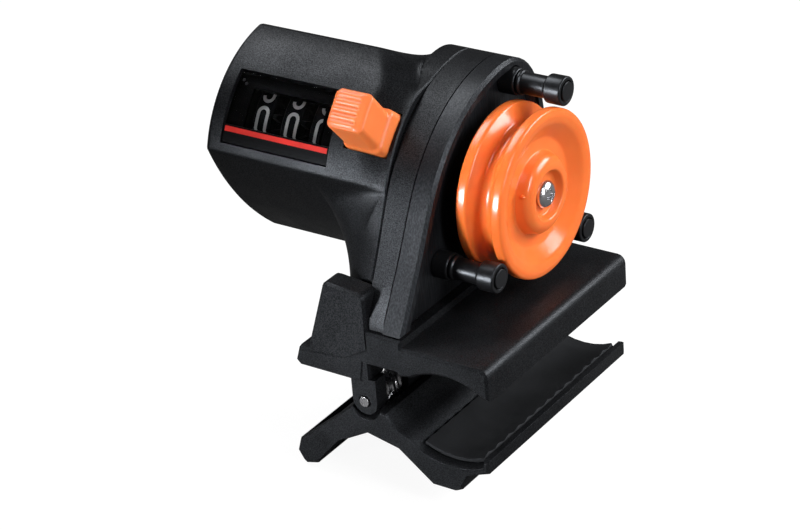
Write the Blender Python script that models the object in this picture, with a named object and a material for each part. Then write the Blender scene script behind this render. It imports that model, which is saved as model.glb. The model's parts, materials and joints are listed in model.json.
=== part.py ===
"""Fishing line counter that clips on a rod, in metres.

The origin is on the axis of the clamped rod, half way along the jaws. +X runs along the pulley shaft
towards the pulley, +Y runs along the rod and +Z is up.
"""
import math

import bmesh
import bpy
import numpy as np

for old in list(bpy.data.objects):
    bpy.data.objects.remove(old, do_unlink=True)

MM = 0.001

# Shared clearances and counts
GAP = 0.3 * MM
RUN_GAP = 0.3 * MM
OVERRUN = 3.0 * MM
FINE_STEPS = 48
ROUND_STEPS = 32
SMALL_STEPS = 16

# Rod and jaws
ROD_RADIUS = 10.5 * MM
JAW_LENGTH = 61.4 * MM
SADDLE_RADIUS = 17.7 * MM
SADDLE_WIDTH = 18.6 * MM
BASE_RIGHT = 11.6 * MM
BASE_TOP = 15.3 * MM
BASE_UNDER = 7.2 * MM
BASE_FILLET = 2.2 * MM
BASE_END_ROUND = 1.6 * MM
HOLLOW_HEIGHT = 0.9 * MM
HOLLOW_RIGHT = 13.3 * MM

# Housing stack along the shaft, from the pulley side to the far end
FOOT_HEIGHT = 17.4 * MM
COVER_FACE = -11.0 * MM
COVER_THICKNESS = 5.4 * MM
COVER_FLOOR = 2.9 * MM
COVER_RIM = 2.3 * MM
COVER_COVE = 1.6 * MM
CASE_THICKNESS = 4.8 * MM
CASE_WEB = 2.0 * MM
CASE_WALL = 2.6 * MM
CASE_LEAN = 2.3 * MM
BARREL_LENGTH = 52.7 * MM
BARREL_WALL = 2.0 * MM
NECK_START = 20.5 * MM
NECK_FULL = 6.5 * MM
NECK_LATE = 6.2 * MM
NECK_LATE_START = 16.5 * MM
NECK_LATE_FLAT_SHARE = 1.5
NECK_EARLY = 3.2 * MM
NECK_LATE_HALF_ANGLE = 38.0
NECK_EARLY_ANGLE = 205.0
BARREL_END_ROUND = 1.6 * MM

# Outline of the cover and the case, as shares of the jaw length and of the cover height
COVER_HEIGHT = 47.8 * MM
COVER_NEAR_INSET = 0.5 * MM
COVER_OUTLINE_SHARES = (
    (0.000, 0.000), (0.065, 0.144), (0.150, 0.330), (0.254, 0.584), (0.334, 0.722), (0.428, 0.835),
    (0.542, 0.925), (0.680, 0.985), (0.826, 1.000), (0.932, 0.940), (1.005, 0.818), (1.042, 0.650),
    (1.040, 0.410), (1.014, 0.180), (0.992, 0.000),
)

# Pulley shaft
SHAFT_PLACE_SHARE = 0.164495
PULLEY_CLEAR = 1.1 * MM
SHAFT_RADIUS = 2.0 * MM
BUSH_WALL = 1.5 * MM
BUSH_FLANGE = 1.0 * MM
BUSH_FLANGE_THICKNESS = 0.8 * MM

# Pulley
PULLEY_RADIUS = 20.0 * MM
PULLEY_WIDTH = 12.0 * MM
PULLEY_FACE = 3.5 * MM
GROOVE_RADIUS = 15.9 * MM
GROOVE_FLOOR = 1.6 * MM
FLANGE_EDGE = 1.5 * MM
DISH_OUTER_SHARE = 0.80
DISH_FLOOR_SHARE = 0.65
HUB_RING_SHARE = 0.49
HUB_HOLE_SHARE = 0.28
DISH_DEPTH = 1.9 * MM
HUB_RISE = 0.6 * MM
HUB_HOLE_DEPTH = 1.0 * MM
PULLEY_SCREW_HEAD = 3.3 * MM
PULLEY_SCREW_DOME = 2.0 * MM
PULLEY_SCREW_SHANK = 1.0 * MM
PULLEY_SCREW_LENGTH = 7.0 * MM

# Line guides
GUIDE_CLEAR = 3.85 * MM
UPPER_GUIDE_ANGLE = 62.9
FRONT_GUIDE_ANGLE = 209.3
REAR_GUIDE_ANGLE = 315.7
GUIDE_END = 3.5 * MM
GUIDE_COLLAR_RADIUS = 3.3 * MM
GUIDE_COLLAR_LENGTH = 4.3 * MM
GUIDE_CORE_RADIUS = 1.2 * MM
GUIDE_SLEEVE_RADIUS = 2.6 * MM
GUIDE_CAP_RADIUS = 3.5 * MM
GUIDE_CAP_LENGTH = 4.6 * MM
GUIDE_HEAD_RADIUS = 2.3 * MM
GUIDE_HEAD_THICKNESS = 0.7 * MM
GUIDE_STUB_RADIUS = 1.6 * MM
GUIDE_STUB_LENGTH = 1.9 * MM
GUIDE_EDGE = 0.5 * MM

# Barrel section: a round body with a wider viewing hood
BARREL_PLACE_SHARE = 0.224756
BARREL_RISE_SHARE = 0.416318
HOOD_RADIUS_SHARE = 0.648536
BODY_RADIUS_SHARE = 0.741935
HOOD_START_ANGLE = 99.7
HOOD_END_ANGLE = 164.7
CHEEK_RADIUS_SHARE = 2.322581
BODY_START_ANGLE = 247.5
BODY_END_ANGLE = 376.9

# Window, index strip and button, placed by their angle round the barrel centre
WINDOW_LEFT = -70.0 * MM
WINDOW_RIGHT = -39.4 * MM
WINDOW_TOP_ANGLE = 126.5
WINDOW_FOOT_ANGLE = 160.5
INDEX_TOP_ANGLE = 152.0
LENS_SINK = 0.7 * MM
LENS_THICKNESS = 1.5 * MM
BUTTON_ANGLE = 140.6
BUTTON_MIDDLE = -30.2 * MM
BUTTON_WIDTH = 10.4 * MM
BUTTON_LENGTH = 10.4 * MM
BUTTON_HEIGHT = 8.6 * MM
BUTTON_LEAN = 1.9 * MM
BUTTON_TOP_LENGTH = 9.4 * MM
BUTTON_LIP = 0.9 * MM
BUTTON_BURY = 4.5 * MM
BUTTON_STEM_LENGTH = 1.3 * MM
BUTTON_STEM_SHARE = 0.6
BUTTON_RIBS = 5
BUTTON_RIB_HEIGHT = 0.45 * MM
BUTTON_CORNER = 1.1 * MM
BUTTON_TRAVEL = 2.5 * MM
SLOT_GAP = 0.3 * MM

# Number wheels on their own fixed shaft
WHEEL_INSET_SHARE = 0.306452
WHEEL_CLEAR = 0.38 * MM
WHEEL_ANGLE = 143.0
WHEEL_PITCH = 8.2 * MM
WHEEL_LEFT = -67.2 * MM
CAM_WIDTH = 1.4 * MM
DRUM_WIDTH = 5.0 * MM
RING_GEAR_WIDTH = 1.2 * MM
CAM_LARGE_SHARE = 0.65
CAM_SMALL_SHARE = 0.40625
WHEEL_SHAFT_RADIUS = 1.5 * MM
DRIVE_DISC_SHARE = 0.7875
DRIVE_DISC_WIDTH = 2.4 * MM
DRIVE_HUB_RADIUS = 4.0 * MM
BARREL_BOSS_WALL = 1.5 * MM
BARREL_BOSS_LENGTH = 2.0 * MM

# Gear train: teeth and modules
TRAIN_MODULE = 0.8 * MM
PINION_TEETH = 9
IDLER_TEETH = 27
DRIVE_TEETH = 30
TRAIN_GEAR_WIDTH = 2.2 * MM
IDLER_PIN_RADIUS = 1.0 * MM
IDLER_HUB_RADIUS = 2.5 * MM
CARRY_MODULE_SHARE = 0.075
RING_TEETH = 24
TRANSFER_TEETH = 8
TRANSFER_ANGLE = -36.8
TRANSFER_SHAFT_RADIUS = 1.0 * MM
ADDENDUM_SHARE = 0.85
DEDENDUM_SHARE = 1.2
TIP_WIDTH_SHARE = 0.22
ROOT_WIDTH_SHARE = 0.56

# Reset hammer
HAMMER_ANGLE = 95.0
HAMMER_CLEAR = 0.15 * MM
HAMMER_PIN_RADIUS = 1.0 * MM
HAMMER_SLEEVE_RADIUS = 1.9 * MM
HAMMER_FINGER_WIDTH = 0.8 * MM
HAMMER_BAR_HALF = 1.2 * MM
HAMMER_PAD_WIDTH = 6.0 * MM
RESET_WIRE = 0.3 * MM
RESET_COIL_RADIUS = 1.6 * MM
RESET_TURNS = 2
RESET_PITCH = 1.1 * MM
RESET_LEG = 5.0 * MM
RESET_LEG_ANGLE = 196.0
RESET_START_ANGLE = 275.0

# Clamp hinge and lower jaw
HINGE_X = -23.0 * MM
HINGE_Z = -2.0 * MM
HINGE_PIN_RADIUS = 1.3 * MM
KNUCKLE_RADIUS = 3.4 * MM
LUG_THICKNESS = 4.0 * MM
LUG_INSET = 0.4 * MM
HINGE_CLEAR = 4.3 * MM
JAW_SPRING_ROOM = 8.8 * MM
THUMB_LEFT = -42.0 * MM
THUMB_TOP = 8.0 * MM
THUMB_ROOT_TOP = 12.6 * MM
THUMB_ROOT_LENGTH = 6.0 * MM
HOLLOW_LEFT = 22.9 * MM
THUMB_UNDER = 3.0 * MM
THUMB_LIP = 1.2 * MM
WING_THICKNESS = 6.2 * MM
WING_ROOT = 0.6 * MM
WING_FOOT_LEFT = -38.2 * MM
WING_TOP_LEFT = -32.0 * MM
WING_TOP = 27.2 * MM
WING_DROP = 1.2 * MM
WING_ROUND = 1.5 * MM
JAW_RIGHT = 10.1 * MM
JAW_RIM_TOP = -8.8 * MM
JAW_RIM_FOOT = -12.0 * MM
JAW_RIM_WIDTH = 1.4 * MM
JAW_UNDER = -14.2 * MM
KEEL_UNDER = -19.2 * MM
KEEL_RIGHT = 1.6 * MM
KEEL_WIDTH = 7.0 * MM
LINER_THICKNESS = 1.2 * MM
LINER_HALF_WIDTH = 7.6 * MM
PAD_THICKNESS = 1.7 * MM
PAD_HALF_WIDTH = 8.3 * MM
PAD_END_GAP = 2.2 * MM
PAD_RIBS = 13
PAD_RIB_DEPTH = 0.5 * MM
LEVER_TIP_X = -43.2 * MM
LEVER_TIP_Z = -17.6 * MM
LEVER_THICKNESS = 3.0 * MM
LEVER_DROP = 6.6 * MM
LEVER_WALL = 1.6 * MM
LEVER_SCOOP = 1.2 * MM
LEVER_SCOOP_LENGTH = 14.0 * MM
JAW_EDGE = 0.8 * MM
JAW_SPRING_WIRE = 0.55 * MM
JAW_SPRING_COIL = 2.6 * MM
JAW_SPRING_TURNS = 4
JAW_SPRING_PITCH = 1.65 * MM
JAW_SPRING_LEG = 4.0 * MM
JAW_SPRING_START = 1.0 * MM

# Screws
SCREW_RADIUS = 1.0 * MM
SCREW_HEAD_RADIUS = 2.0 * MM
SCREW_HEAD_HEIGHT = 1.2 * MM
BARREL_SCREW_ANGLES = (240.0, 300.0, 30.0)
BARREL_SCREW_INSET = 4.5 * MM
BARREL_SCREW_BOSS = 2.8 * MM
BARREL_SCREW_BOSS_LENGTH = 11.0 * MM
BARREL_SCREW_LENGTH = 9.0 * MM
COVER_SCREW_SPREAD = 20.0 * MM
COVER_SCREW_LENGTH = 12.0 * MM
COVER_SCREW_HEAD_SINK = 2.2 * MM

# Places worked out from the sizes above
CASE_FACE = COVER_FACE - COVER_THICKNESS - GAP
CASE_BACK = CASE_FACE - CASE_THICKNESS
WEB_FACE = CASE_BACK + CASE_WEB
BARREL_OPEN = CASE_BACK - GAP
BARREL_END = BARREL_OPEN - BARREL_LENGTH
FLOOR_FACE = COVER_FACE - COVER_THICKNESS + COVER_FLOOR
COVER_BACK = COVER_FACE - COVER_THICKNESS
PULLEY_BACK = PULLEY_FACE - PULLEY_WIDTH
SHAFT = np.array((JAW_LENGTH * SHAFT_PLACE_SHARE, FOOT_HEIGHT + PULLEY_CLEAR + PULLEY_RADIUS))
BARREL = np.array((JAW_LENGTH * BARREL_PLACE_SHARE, FOOT_HEIGHT + COVER_HEIGHT * BARREL_RISE_SHARE))
HOOD_RADIUS = COVER_HEIGHT * HOOD_RADIUS_SHARE
BODY_RADIUS = HOOD_RADIUS * BODY_RADIUS_SHARE
CHEEK_RADIUS = HOOD_RADIUS * CHEEK_RADIUS_SHARE
WHEEL_INSET = HOOD_RADIUS * WHEEL_INSET_SHARE
GUIDE_PLACE_RADIUS = PULLEY_RADIUS + GUIDE_CLEAR
SHAFT_SPLIT = CASE_BACK + CASE_WEB / 2
GUIDES = (("upper", UPPER_GUIDE_ANGLE), ("front", FRONT_GUIDE_ANGLE), ("rear", REAR_GUIDE_ANGLE))


def unit(angle):
    """Unit vector at an angle in degrees."""
    return np.array((math.cos(math.radians(angle)), math.sin(math.radians(angle))))


WHEELS = BARREL + WHEEL_INSET * unit(WHEEL_ANGLE)
KNUCKLE_HALF = JAW_LENGTH / 2 - LUG_INSET - LUG_THICKNESS - JAW_SPRING_ROOM


def meeting_point(first, first_reach, second, second_reach):
    """Point at two given distances from two points, right of the way from the first to the second."""
    across = second - first
    span = np.linalg.norm(across)
    along = (first_reach ** 2 + span ** 2 - second_reach ** 2) / (2 * span)
    rise = math.sqrt(first_reach ** 2 - along ** 2)
    ahead = across / span
    return first + ahead * along + np.array((ahead[1], -ahead[0])) * rise


IDLER = meeting_point(
    SHAFT, TRAIN_MODULE * (PINION_TEETH + IDLER_TEETH) / 2,
    WHEELS, TRAIN_MODULE * (PINION_TEETH + DRIVE_TEETH) / 2)


# Materials

def make_material(name, colour, roughness, metallic=0.0):
    """Principled material with one colour."""
    material = bpy.data.materials.new(name)
    material.use_nodes = True
    shader = material.node_tree.nodes["Principled BSDF"]
    shader.inputs["Base Color"].default_value = (*colour, 1.0)
    shader.inputs["Roughness"].default_value = roughness
    shader.inputs["Metallic"].default_value = metallic
    material.diffuse_color = (*colour, 1.0)
    return material


GRAINED_BLACK = ((0.035, 0.037, 0.041), 0.55, 0.0)
SATIN_BLACK = ((0.06, 0.062, 0.07), 0.38, 0.0)
DEEP_BLACK = ((0.012, 0.012, 0.013), 0.45, 0.0)
ORANGE = ((0.85, 0.16, 0.035), 0.32, 0.0)
CLEAR = ((0.8, 0.82, 0.84), 0.05, 0.0)
STEEL = ((0.62, 0.62, 0.63), 0.22, 1.0)
RUBBER = ((0.03, 0.03, 0.032), 0.8, 0.0)
WHITE_GEAR = ((0.75, 0.74, 0.7), 0.5, 0.0)
BRASS = ((0.7, 0.5, 0.2), 0.3, 1.0)


# Outlines in a plane

def arc(centre, radius, start, end, count):
    """Points along an arc, angles in degrees."""
    turn = np.radians(np.linspace(start, end, count))
    return np.column_stack((centre[0] + radius * np.cos(turn), centre[1] + radius * np.sin(turn)))


def circle(centre, radius, steps):
    """Closed ring of points, without the repeated last one."""
    return arc(centre, radius, 0, 360, steps + 1)[:-1]


def rounded(corners, radius, steps=3):
    """Outline with each corner replaced by a short curve of the given radius."""
    corners = np.asarray(corners, float)
    points = []
    for here, before, after in zip(corners, np.roll(corners, 1, 0), np.roll(corners, -1, 0)):
        to_before = before - here
        to_after = after - here
        reach = min(radius, np.linalg.norm(to_before) / 2.2, np.linalg.norm(to_after) / 2.2)
        start = here + to_before / np.linalg.norm(to_before) * reach
        end = here + to_after / np.linalg.norm(to_after) * reach
        for share in np.linspace(0, 1, steps + 1):
            points.append((1 - share) ** 2 * start + 2 * share * (1 - share) * here + share ** 2 * end)
    return np.array(points)


def smooth_path(points, steps):
    """Open curve through the points, each span split in steps (Catmull-Rom)."""
    points = np.asarray(points, float)
    padded = np.vstack((2 * points[0] - points[1], points, 2 * points[-1] - points[-2]))
    curve = []
    for a, b, c, d in zip(padded, padded[1:], padded[2:], padded[3:]):
        for share in np.linspace(0, 1, steps, endpoint=False):
            curve.append(0.5 * (2 * b + (c - a) * share + (2 * a - 5 * b + 4 * c - d) * share ** 2
                                + (3 * b - a - 3 * c + d) * share ** 3))
    curve.append(points[-1])
    return np.array(curve)


def inset(outline, distance):
    """Outline moved inwards along its corner normals; the outline runs counter-clockwise."""
    ahead = np.roll(outline, -1, 0) - outline
    ahead /= np.linalg.norm(ahead, axis=1)[:, None]
    behind = np.roll(ahead, 1, 0)
    normal = np.column_stack((-(ahead + behind)[:, 1], (ahead + behind)[:, 0]))
    length = np.linalg.norm(normal, axis=1)
    normal /= length[:, None]
    return outline + normal * (distance / np.maximum(length / 2, 0.5))[:, None]


def counter_clockwise(outline):
    """The same outline, turned to run counter-clockwise."""
    ahead = np.roll(outline, -1, 0)
    area = np.sum(outline[:, 0] * ahead[:, 1] - ahead[:, 0] * outline[:, 1])
    return outline if area > 0 else outline[::-1]


def ray_lengths(outline, centre, angles):
    """Distance from the centre to the outline along each angle."""
    start = outline - centre
    side = np.roll(start, -1, 0) - start
    lengths = []
    for angle in angles:
        ray = unit(angle)
        cross = ray[0] * side[:, 1] - ray[1] * side[:, 0]
        cross = np.where(np.abs(cross) < 1e-12, 1e-12, cross)
        reach = (start[:, 0] * side[:, 1] - start[:, 1] * side[:, 0]) / cross
        share = (start[:, 0] * ray[1] - start[:, 1] * ray[0]) / cross
        hits = reach[(share >= -1e-9) & (share <= 1 + 1e-9) & (reach > 0)]
        lengths.append(hits.max())
    return np.array(lengths)


def gear_outline(centre, teeth, module, phase):
    """Gear with straight flanks: two root and two tip points for each tooth."""
    pitch_radius = module * teeth / 2
    tip = pitch_radius + module * ADDENDUM_SHARE
    root = pitch_radius - module * DEDENDUM_SHARE
    tooth = 360 / teeth
    points = []
    for index in range(teeth):
        middle = phase + index * tooth
        for radius, share in ((root, -ROOT_WIDTH_SHARE), (tip, -TIP_WIDTH_SHARE), (tip, TIP_WIDTH_SHARE),
                              (root, ROOT_WIDTH_SHARE)):
            points.append(centre + radius * unit(middle + share * tooth / 2))
    return np.array(points)


# Solids

def finish_object(name, mesh, look, cutter=False):
    """Object for a mesh, with its own material, or a hidden guide."""
    item = bpy.data.objects.new(name, mesh)
    bpy.context.scene.collection.objects.link(item)
    if cutter:
        item.hide_render = True
        item.display_type = "WIRE"
    else:
        mesh.materials.append(make_material(name, *look))
    return item


def loft(name, sections, look=GRAINED_BLACK, closed=False, cutter=False, sharp=35.0):
    """Solid through rings of points; a closed loft joins its last ring to its first."""
    sections = [np.asarray(section, float) for section in sections]
    count = len(sections[0])
    mesh = bpy.data.meshes.new(name)
    body = bmesh.new()
    rings = [[body.verts.new(point) for point in section] for section in sections]
    pairs = list(zip(rings, rings[1:]))
    if closed:
        pairs.append((rings[-1], rings[0]))
    for first, second in pairs:
        for here in range(count):
            ahead = (here + 1) % count
            body.faces.new((first[here], first[ahead], second[ahead], second[here]))
    if not closed:
        body.faces.new(rings[0][::-1])
        body.faces.new(rings[-1])
    bmesh.ops.recalc_face_normals(body, faces=body.faces)
    body.to_mesh(mesh)
    body.free()
    mesh.shade_smooth()
    mesh.set_sharp_from_angle(angle=math.radians(sharp))
    return finish_object(name, mesh, look, cutter)


def at_x(place, outline):
    """Ring in a plane square to X, from (y, z) points."""
    return np.column_stack((np.full(len(outline), place), outline))


def at_y(place, outline):
    """Ring in a plane square to Y, from (x, z) points."""
    return np.column_stack((outline[:, 0], np.full(len(outline), place), outline[:, 1]))


def prism_x(name, outline, left, right, look=GRAINED_BLACK, cutter=False):
    """Outline of (y, z) points pushed along X."""
    return loft(name, (at_x(left, outline), at_x(right, outline)), look, cutter=cutter)


def prism_y(name, outline, near, far, look=GRAINED_BLACK, cutter=False):
    """Outline of (x, z) points pushed along Y."""
    return loft(name, (at_y(near, outline), at_y(far, outline)), look, cutter=cutter)


def turned_x(name, centre, profile, look=STEEL, steps=ROUND_STEPS, closed=False, cutter=False):
    """Profile of (x, radius) pairs turned round an axis along X."""
    rings = [at_x(place, circle(centre, radius, steps)) for place, radius in profile]
    return loft(name, rings, look, closed=closed, cutter=cutter)


def turned_y(name, centre, profile, look=STEEL, steps=SMALL_STEPS, closed=False, cutter=False):
    """Profile of (y, radius) pairs turned round an axis along Y."""
    rings = [at_y(place, circle(centre, radius, steps)) for place, radius in profile]
    return loft(name, rings, look, closed=closed, cutter=cutter)


def turned_z(name, centre, profile, look=STEEL, steps=SMALL_STEPS, cutter=False):
    """Profile of (z, radius) pairs turned round an axis along Z."""
    rings = []
    for place, radius in profile:
        ring = circle(centre, radius, steps)
        rings.append(np.column_stack((ring, np.full(steps, place))))
    return loft(name, rings, look, cutter=cutter)


def combine(target, operation, *others):
    """Boolean each of the others with the target."""
    for other in others:
        modifier = target.modifiers.new(other.name, "BOOLEAN")
        modifier.operation = operation
        modifier.solver = "EXACT"
        modifier.object = other


def cut(target, *cutters):
    """Take the cutters out of the target."""
    combine(target, "DIFFERENCE", *cutters)


def join(target, *guides):
    """Fuse guide solids into the target."""
    combine(target, "UNION", *guides)


def wire(name, points, radius, look=STEEL):
    """Unbroken round wire along the points, with filled ends."""
    curve = bpy.data.curves.new(name, "CURVE")
    curve.dimensions = "3D"
    curve.bevel_depth = radius
    curve.bevel_resolution = 1
    curve.use_fill_caps = True
    spline = curve.splines.new("POLY")
    spline.points.add(len(points) - 1)
    for control, point in zip(spline.points, points):
        control.co = (*point, 1.0)
    item = bpy.data.objects.new(name, curve)
    bpy.context.scene.collection.objects.link(item)
    curve.materials.append(make_material(name, *look))
    return item


def least_self_gap(points, radius, per_turn):
    """Smallest clear space between stretches of a wire that are not neighbours."""
    points = np.asarray(points)
    least = math.inf
    for index in range(len(points)):
        others = points[index + per_turn // 2 + 1:]
        if len(others):
            least = min(least, np.linalg.norm(others - points[index], axis=1).min())
    return least - 2 * radius


# Shared outlines

def cover_outline(foot):
    """Side outline of the cover and the case, (y, z), from the near foot over the crown."""
    near = -JAW_LENGTH / 2 + COVER_NEAR_INSET
    shares = np.array(COVER_OUTLINE_SHARES)
    points = np.column_stack((near + shares[:, 0] * JAW_LENGTH, FOOT_HEIGHT + shares[:, 1] * COVER_HEIGHT))
    curve = smooth_path(points, 3)
    curve[0, 1] = foot
    curve[-1, 1] = foot
    return counter_clockwise(curve)


def barrel_outline():
    """Section of the barrel, (y, z): hood arc, two cheeks and the round body."""
    front = arc(BARREL, HOOD_RADIUS, HOOD_START_ANGLE, HOOD_END_ANGLE, 14)
    body = arc(BARREL, BODY_RADIUS, BODY_START_ANGLE, BODY_END_ANGLE, 20)

    def cheek(start, end):
        middle = (start + end) / 2
        half = np.linalg.norm(end - start) / 2
        ahead = (end - start) / (2 * half)
        outward = np.array((ahead[1], -ahead[0]))
        bulge = CHEEK_RADIUS - math.sqrt(CHEEK_RADIUS ** 2 - half ** 2)
        shares = np.linspace(-1, 1, 8)[1:-1]
        return np.array([middle + ahead * half * s + outward * bulge * (1 - s * s) for s in shares])

    return np.vstack((front, cheek(front[-1], body[0]), body, cheek(body[-1], front[0])))


def screw_place(angle):
    """Centre of a barrel screw: inside both the round body and the case, at an angle."""
    case = ray_lengths(cover_outline(FOOT_HEIGHT), BARREL, (angle,))[0]
    return BARREL + (min(BODY_RADIUS, case) - BARREL_SCREW_INSET) * unit(angle)


HAMMER_REACH = min(ray_lengths(outline, BARREL, (HAMMER_ANGLE,))[0]
                   for outline in (barrel_outline(), cover_outline(FOOT_HEIGHT)))
HAMMER_PLACE = HAMMER_REACH - BARREL_WALL - HAMMER_SLEEVE_RADIUS - HAMMER_CLEAR
HAMMER = BARREL + HAMMER_PLACE * unit(HAMMER_ANGLE)
WHEEL_RADIUS = np.linalg.norm(HAMMER - WHEELS) - HAMMER_SLEEVE_RADIUS - WHEEL_CLEAR
CAM_LARGE = WHEEL_RADIUS * CAM_LARGE_SHARE
CAM_SMALL = WHEEL_RADIUS * CAM_SMALL_SHARE
DRIVE_DISC_RADIUS = WHEEL_RADIUS * DRIVE_DISC_SHARE
CARRY_MODULE = WHEEL_RADIUS * CARRY_MODULE_SHARE
TRANSFER_DISTANCE = CARRY_MODULE * (RING_TEETH + TRANSFER_TEETH) / 2
TRANSFER = WHEELS + TRANSFER_DISTANCE * unit(TRANSFER_ANGLE)

BARREL_RAYS = np.unique(np.concatenate((
    np.arange(0.0, 360.0, 7.5), (HOOD_START_ANGLE - 1.5, HOOD_START_ANGLE, HOOD_START_ANGLE + 1.5),
    (HOOD_END_ANGLE - 1.5, HOOD_END_ANGLE, HOOD_END_ANGLE + 1.5))))


def neck_share(place, angle):
    """How far the neck has flared at a place along X, from 0 on the barrel to 1 at the case."""
    late = 1 - abs(angle - BUTTON_ANGLE) / NECK_LATE_HALF_ANGLE
    late = min(max(0.0, late * NECK_LATE_FLAT_SHARE), 1.0)
    early = max(0.0, 1 - abs(angle - NECK_EARLY_ANGLE) / NECK_LATE_HALF_ANGLE)
    full = BARREL_OPEN - NECK_FULL + NECK_LATE * math.sqrt(late) - NECK_EARLY * math.sqrt(early)
    start = BARREL_OPEN - NECK_START + NECK_LATE_START * math.sqrt(late)
    run = np.clip((place - start) / (full - start), 0, 1)
    return 1 - math.sqrt(1 - run * run)


def barrel_reach(place):
    """Distance from the barrel centre to its surface along each ray, at a place along X."""
    barrel = ray_lengths(barrel_outline(), BARREL, BARREL_RAYS)
    flange = ray_lengths(cover_outline(FOOT_HEIGHT), BARREL, BARREL_RAYS)
    share = np.array([neck_share(place, angle) for angle in BARREL_RAYS])
    return barrel + (flange - barrel) * share


def ray_ring(reach):
    """Ring of (y, z) points at the given distances from the barrel centre."""
    return np.array([BARREL + length * unit(angle) for length, angle in zip(reach, BARREL_RAYS)])


def outer_ring(place, drop=0.0):
    """Outer ring of the barrel and its neck at a place along X, drawn in by a distance."""
    return ray_ring(barrel_reach(place) - drop)


def inner_ring(place):
    """Inner ring, a wall inside the outer surface here and a wall further back, whichever is less."""
    return ray_ring(np.minimum(barrel_reach(place - BARREL_WALL), barrel_reach(place)) - BARREL_WALL)


def leaned(place, outline, share=1.0):
    """Ring square to X that leans back towards the crown, as the seam behind the case does."""
    lean = CASE_LEAN * (outline[:, 1] - FOOT_HEIGHT) / COVER_HEIGHT
    return np.column_stack((place - np.maximum(lean, 0.0) * share, outline))


def neck_ring(place, outline):
    """Ring of the neck, upright where the neck starts and leaning as the seam does at its mouth."""
    return leaned(place, outline, (place - BARREL_OPEN + NECK_START) / NECK_START)


def hood_patch(inner, outer, start, end, steps=6):
    """Piece of the hood between two radii and two angles, (y, z)."""
    return np.vstack((arc(BARREL, outer, start, end, steps), arc(BARREL, inner, end, start, steps)))


# Housing

def make_barrel_housing():
    """Closed-end shell with the flared neck, window opening, button slot and shaft bosses."""
    start = BARREL_OPEN - NECK_START
    full = BARREL_OPEN - NECK_FULL
    neck = [start + (full - start) * share for share in (0.0, 0.4, 0.6, 0.75, 0.88, 1.0)]
    neck += [full + NECK_LATE * share for share in (0.3, 0.6, 0.85, 1.0)]
    inner_end = BARREL_END + BARREL_WALL
    inner = [at_x(inner_end, inner_ring(BARREL_END))]
    outer = []
    for place in neck:
        inner.append(neck_ring(place, inner_ring(place)))
        outer.insert(0, neck_ring(place, outer_ring(place)))
    inner.append(neck_ring(BARREL_OPEN, inner_ring(BARREL_OPEN)))
    outer.insert(0, neck_ring(BARREL_OPEN, outer_ring(BARREL_OPEN)))
    for share in (1.0, 0.45, 0.0):
        drop = BARREL_END_ROUND * (1 - math.sqrt(1 - (1 - share) ** 2))
        outer.append(at_x(BARREL_END + BARREL_END_ROUND * share, outer_ring(BARREL_END, drop)))
    housing = loft("barrel_housing", inner + outer)
    window = prism_x("window_cutter", hood_patch(HOOD_RADIUS - 2 * BARREL_WALL, HOOD_RADIUS + OVERRUN,
                                                 WINDOW_TOP_ANGLE, WINDOW_FOOT_ANGLE),
                     WINDOW_LEFT, WINDOW_RIGHT, cutter=True)
    slot = button_block("slot_cutter", SLOT_GAP, HOOD_RADIUS - 4 * BARREL_WALL, HOOD_RADIUS + OVERRUN)
    bosses = []
    for name, centre, radius in (("wheel_shaft", WHEELS, WHEEL_SHAFT_RADIUS),
                                 ("pinion_shaft", TRANSFER, TRANSFER_SHAFT_RADIUS),
                                 ("hammer_pin", HAMMER, HAMMER_PIN_RADIUS)):
        outer_radius = radius + RUN_GAP + BARREL_BOSS_WALL
        inner_radius = radius + RUN_GAP
        start = inner_end - BARREL_WALL / 2
        end = inner_end + BARREL_BOSS_LENGTH
        bosses.append(turned_x(f"{name}_boss", centre, (
            (start, outer_radius), (end, outer_radius), (end, inner_radius), (inner_end, inner_radius)),
            steps=SMALL_STEPS, cutter=True))
    screw_bosses = []
    for number, angle in enumerate(BARREL_SCREW_ANGLES, 1):
        centre = screw_place(angle)
        mouth = BARREL_OPEN - CASE_LEAN
        end = BARREL_OPEN - BARREL_SCREW_BOSS_LENGTH
        hole = SCREW_RADIUS + RUN_GAP
        screw_bosses.append(turned_x(f"barrel_boss_{number}", centre, (
            (end, BARREL_SCREW_BOSS), (mouth, BARREL_SCREW_BOSS), (mouth, hole),
            (BARREL_OPEN - BARREL_SCREW_LENGTH, hole)), steps=SMALL_STEPS, cutter=True))
    join(housing, *bosses, *screw_bosses)
    cut(housing, window, slot, finger_wing("wing_notch", GAP))
    return housing


def button_block(name, margin, low, high):
    """Block over the button's footprint between two heights above the barrel centre."""
    half = BUTTON_LENGTH / 2 + margin
    corners = np.array(((-half, low), (half, low), (half, high), (-half, high)))
    width = BUTTON_WIDTH / 2 + margin
    return prism_x(name, button_plane(corners), BUTTON_MIDDLE - width, BUTTON_MIDDLE + width, cutter=True)


def button_plane(points):
    """Turn (along, height) points of the button into (y, z)."""
    out = unit(BUTTON_ANGLE)
    along = np.array((out[1], -out[0]))
    return BARREL + points[:, :1] * along + points[:, 1:] * out


def finger_wing(name, margin):
    """Upright finger wing at the near end, or with a margin the notch it needs in the neck."""
    corners = counter_clockwise(np.array((
        (CASE_BACK + WING_ROOT, THUMB_UNDER + GAP), (WING_FOOT_LEFT, THUMB_UNDER + GAP),
        (WING_FOOT_LEFT + GAP, THUMB_TOP + THUMB_LIP), (WING_TOP_LEFT, WING_TOP),
        (CASE_BACK + WING_ROOT, WING_TOP - WING_DROP))))
    outline = inset(rounded(corners, WING_ROUND), -margin)
    tight = inset(outline, WING_ROUND / 3)
    near = -JAW_LENGTH / 2 + GAP - margin
    far = near + WING_THICKNESS + 2 * margin
    edge = WING_ROUND / 2
    return loft(name, (at_y(near, tight), at_y(near + edge, outline), at_y(far - edge, outline),
                       at_y(far, tight)), cutter=True)


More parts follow.
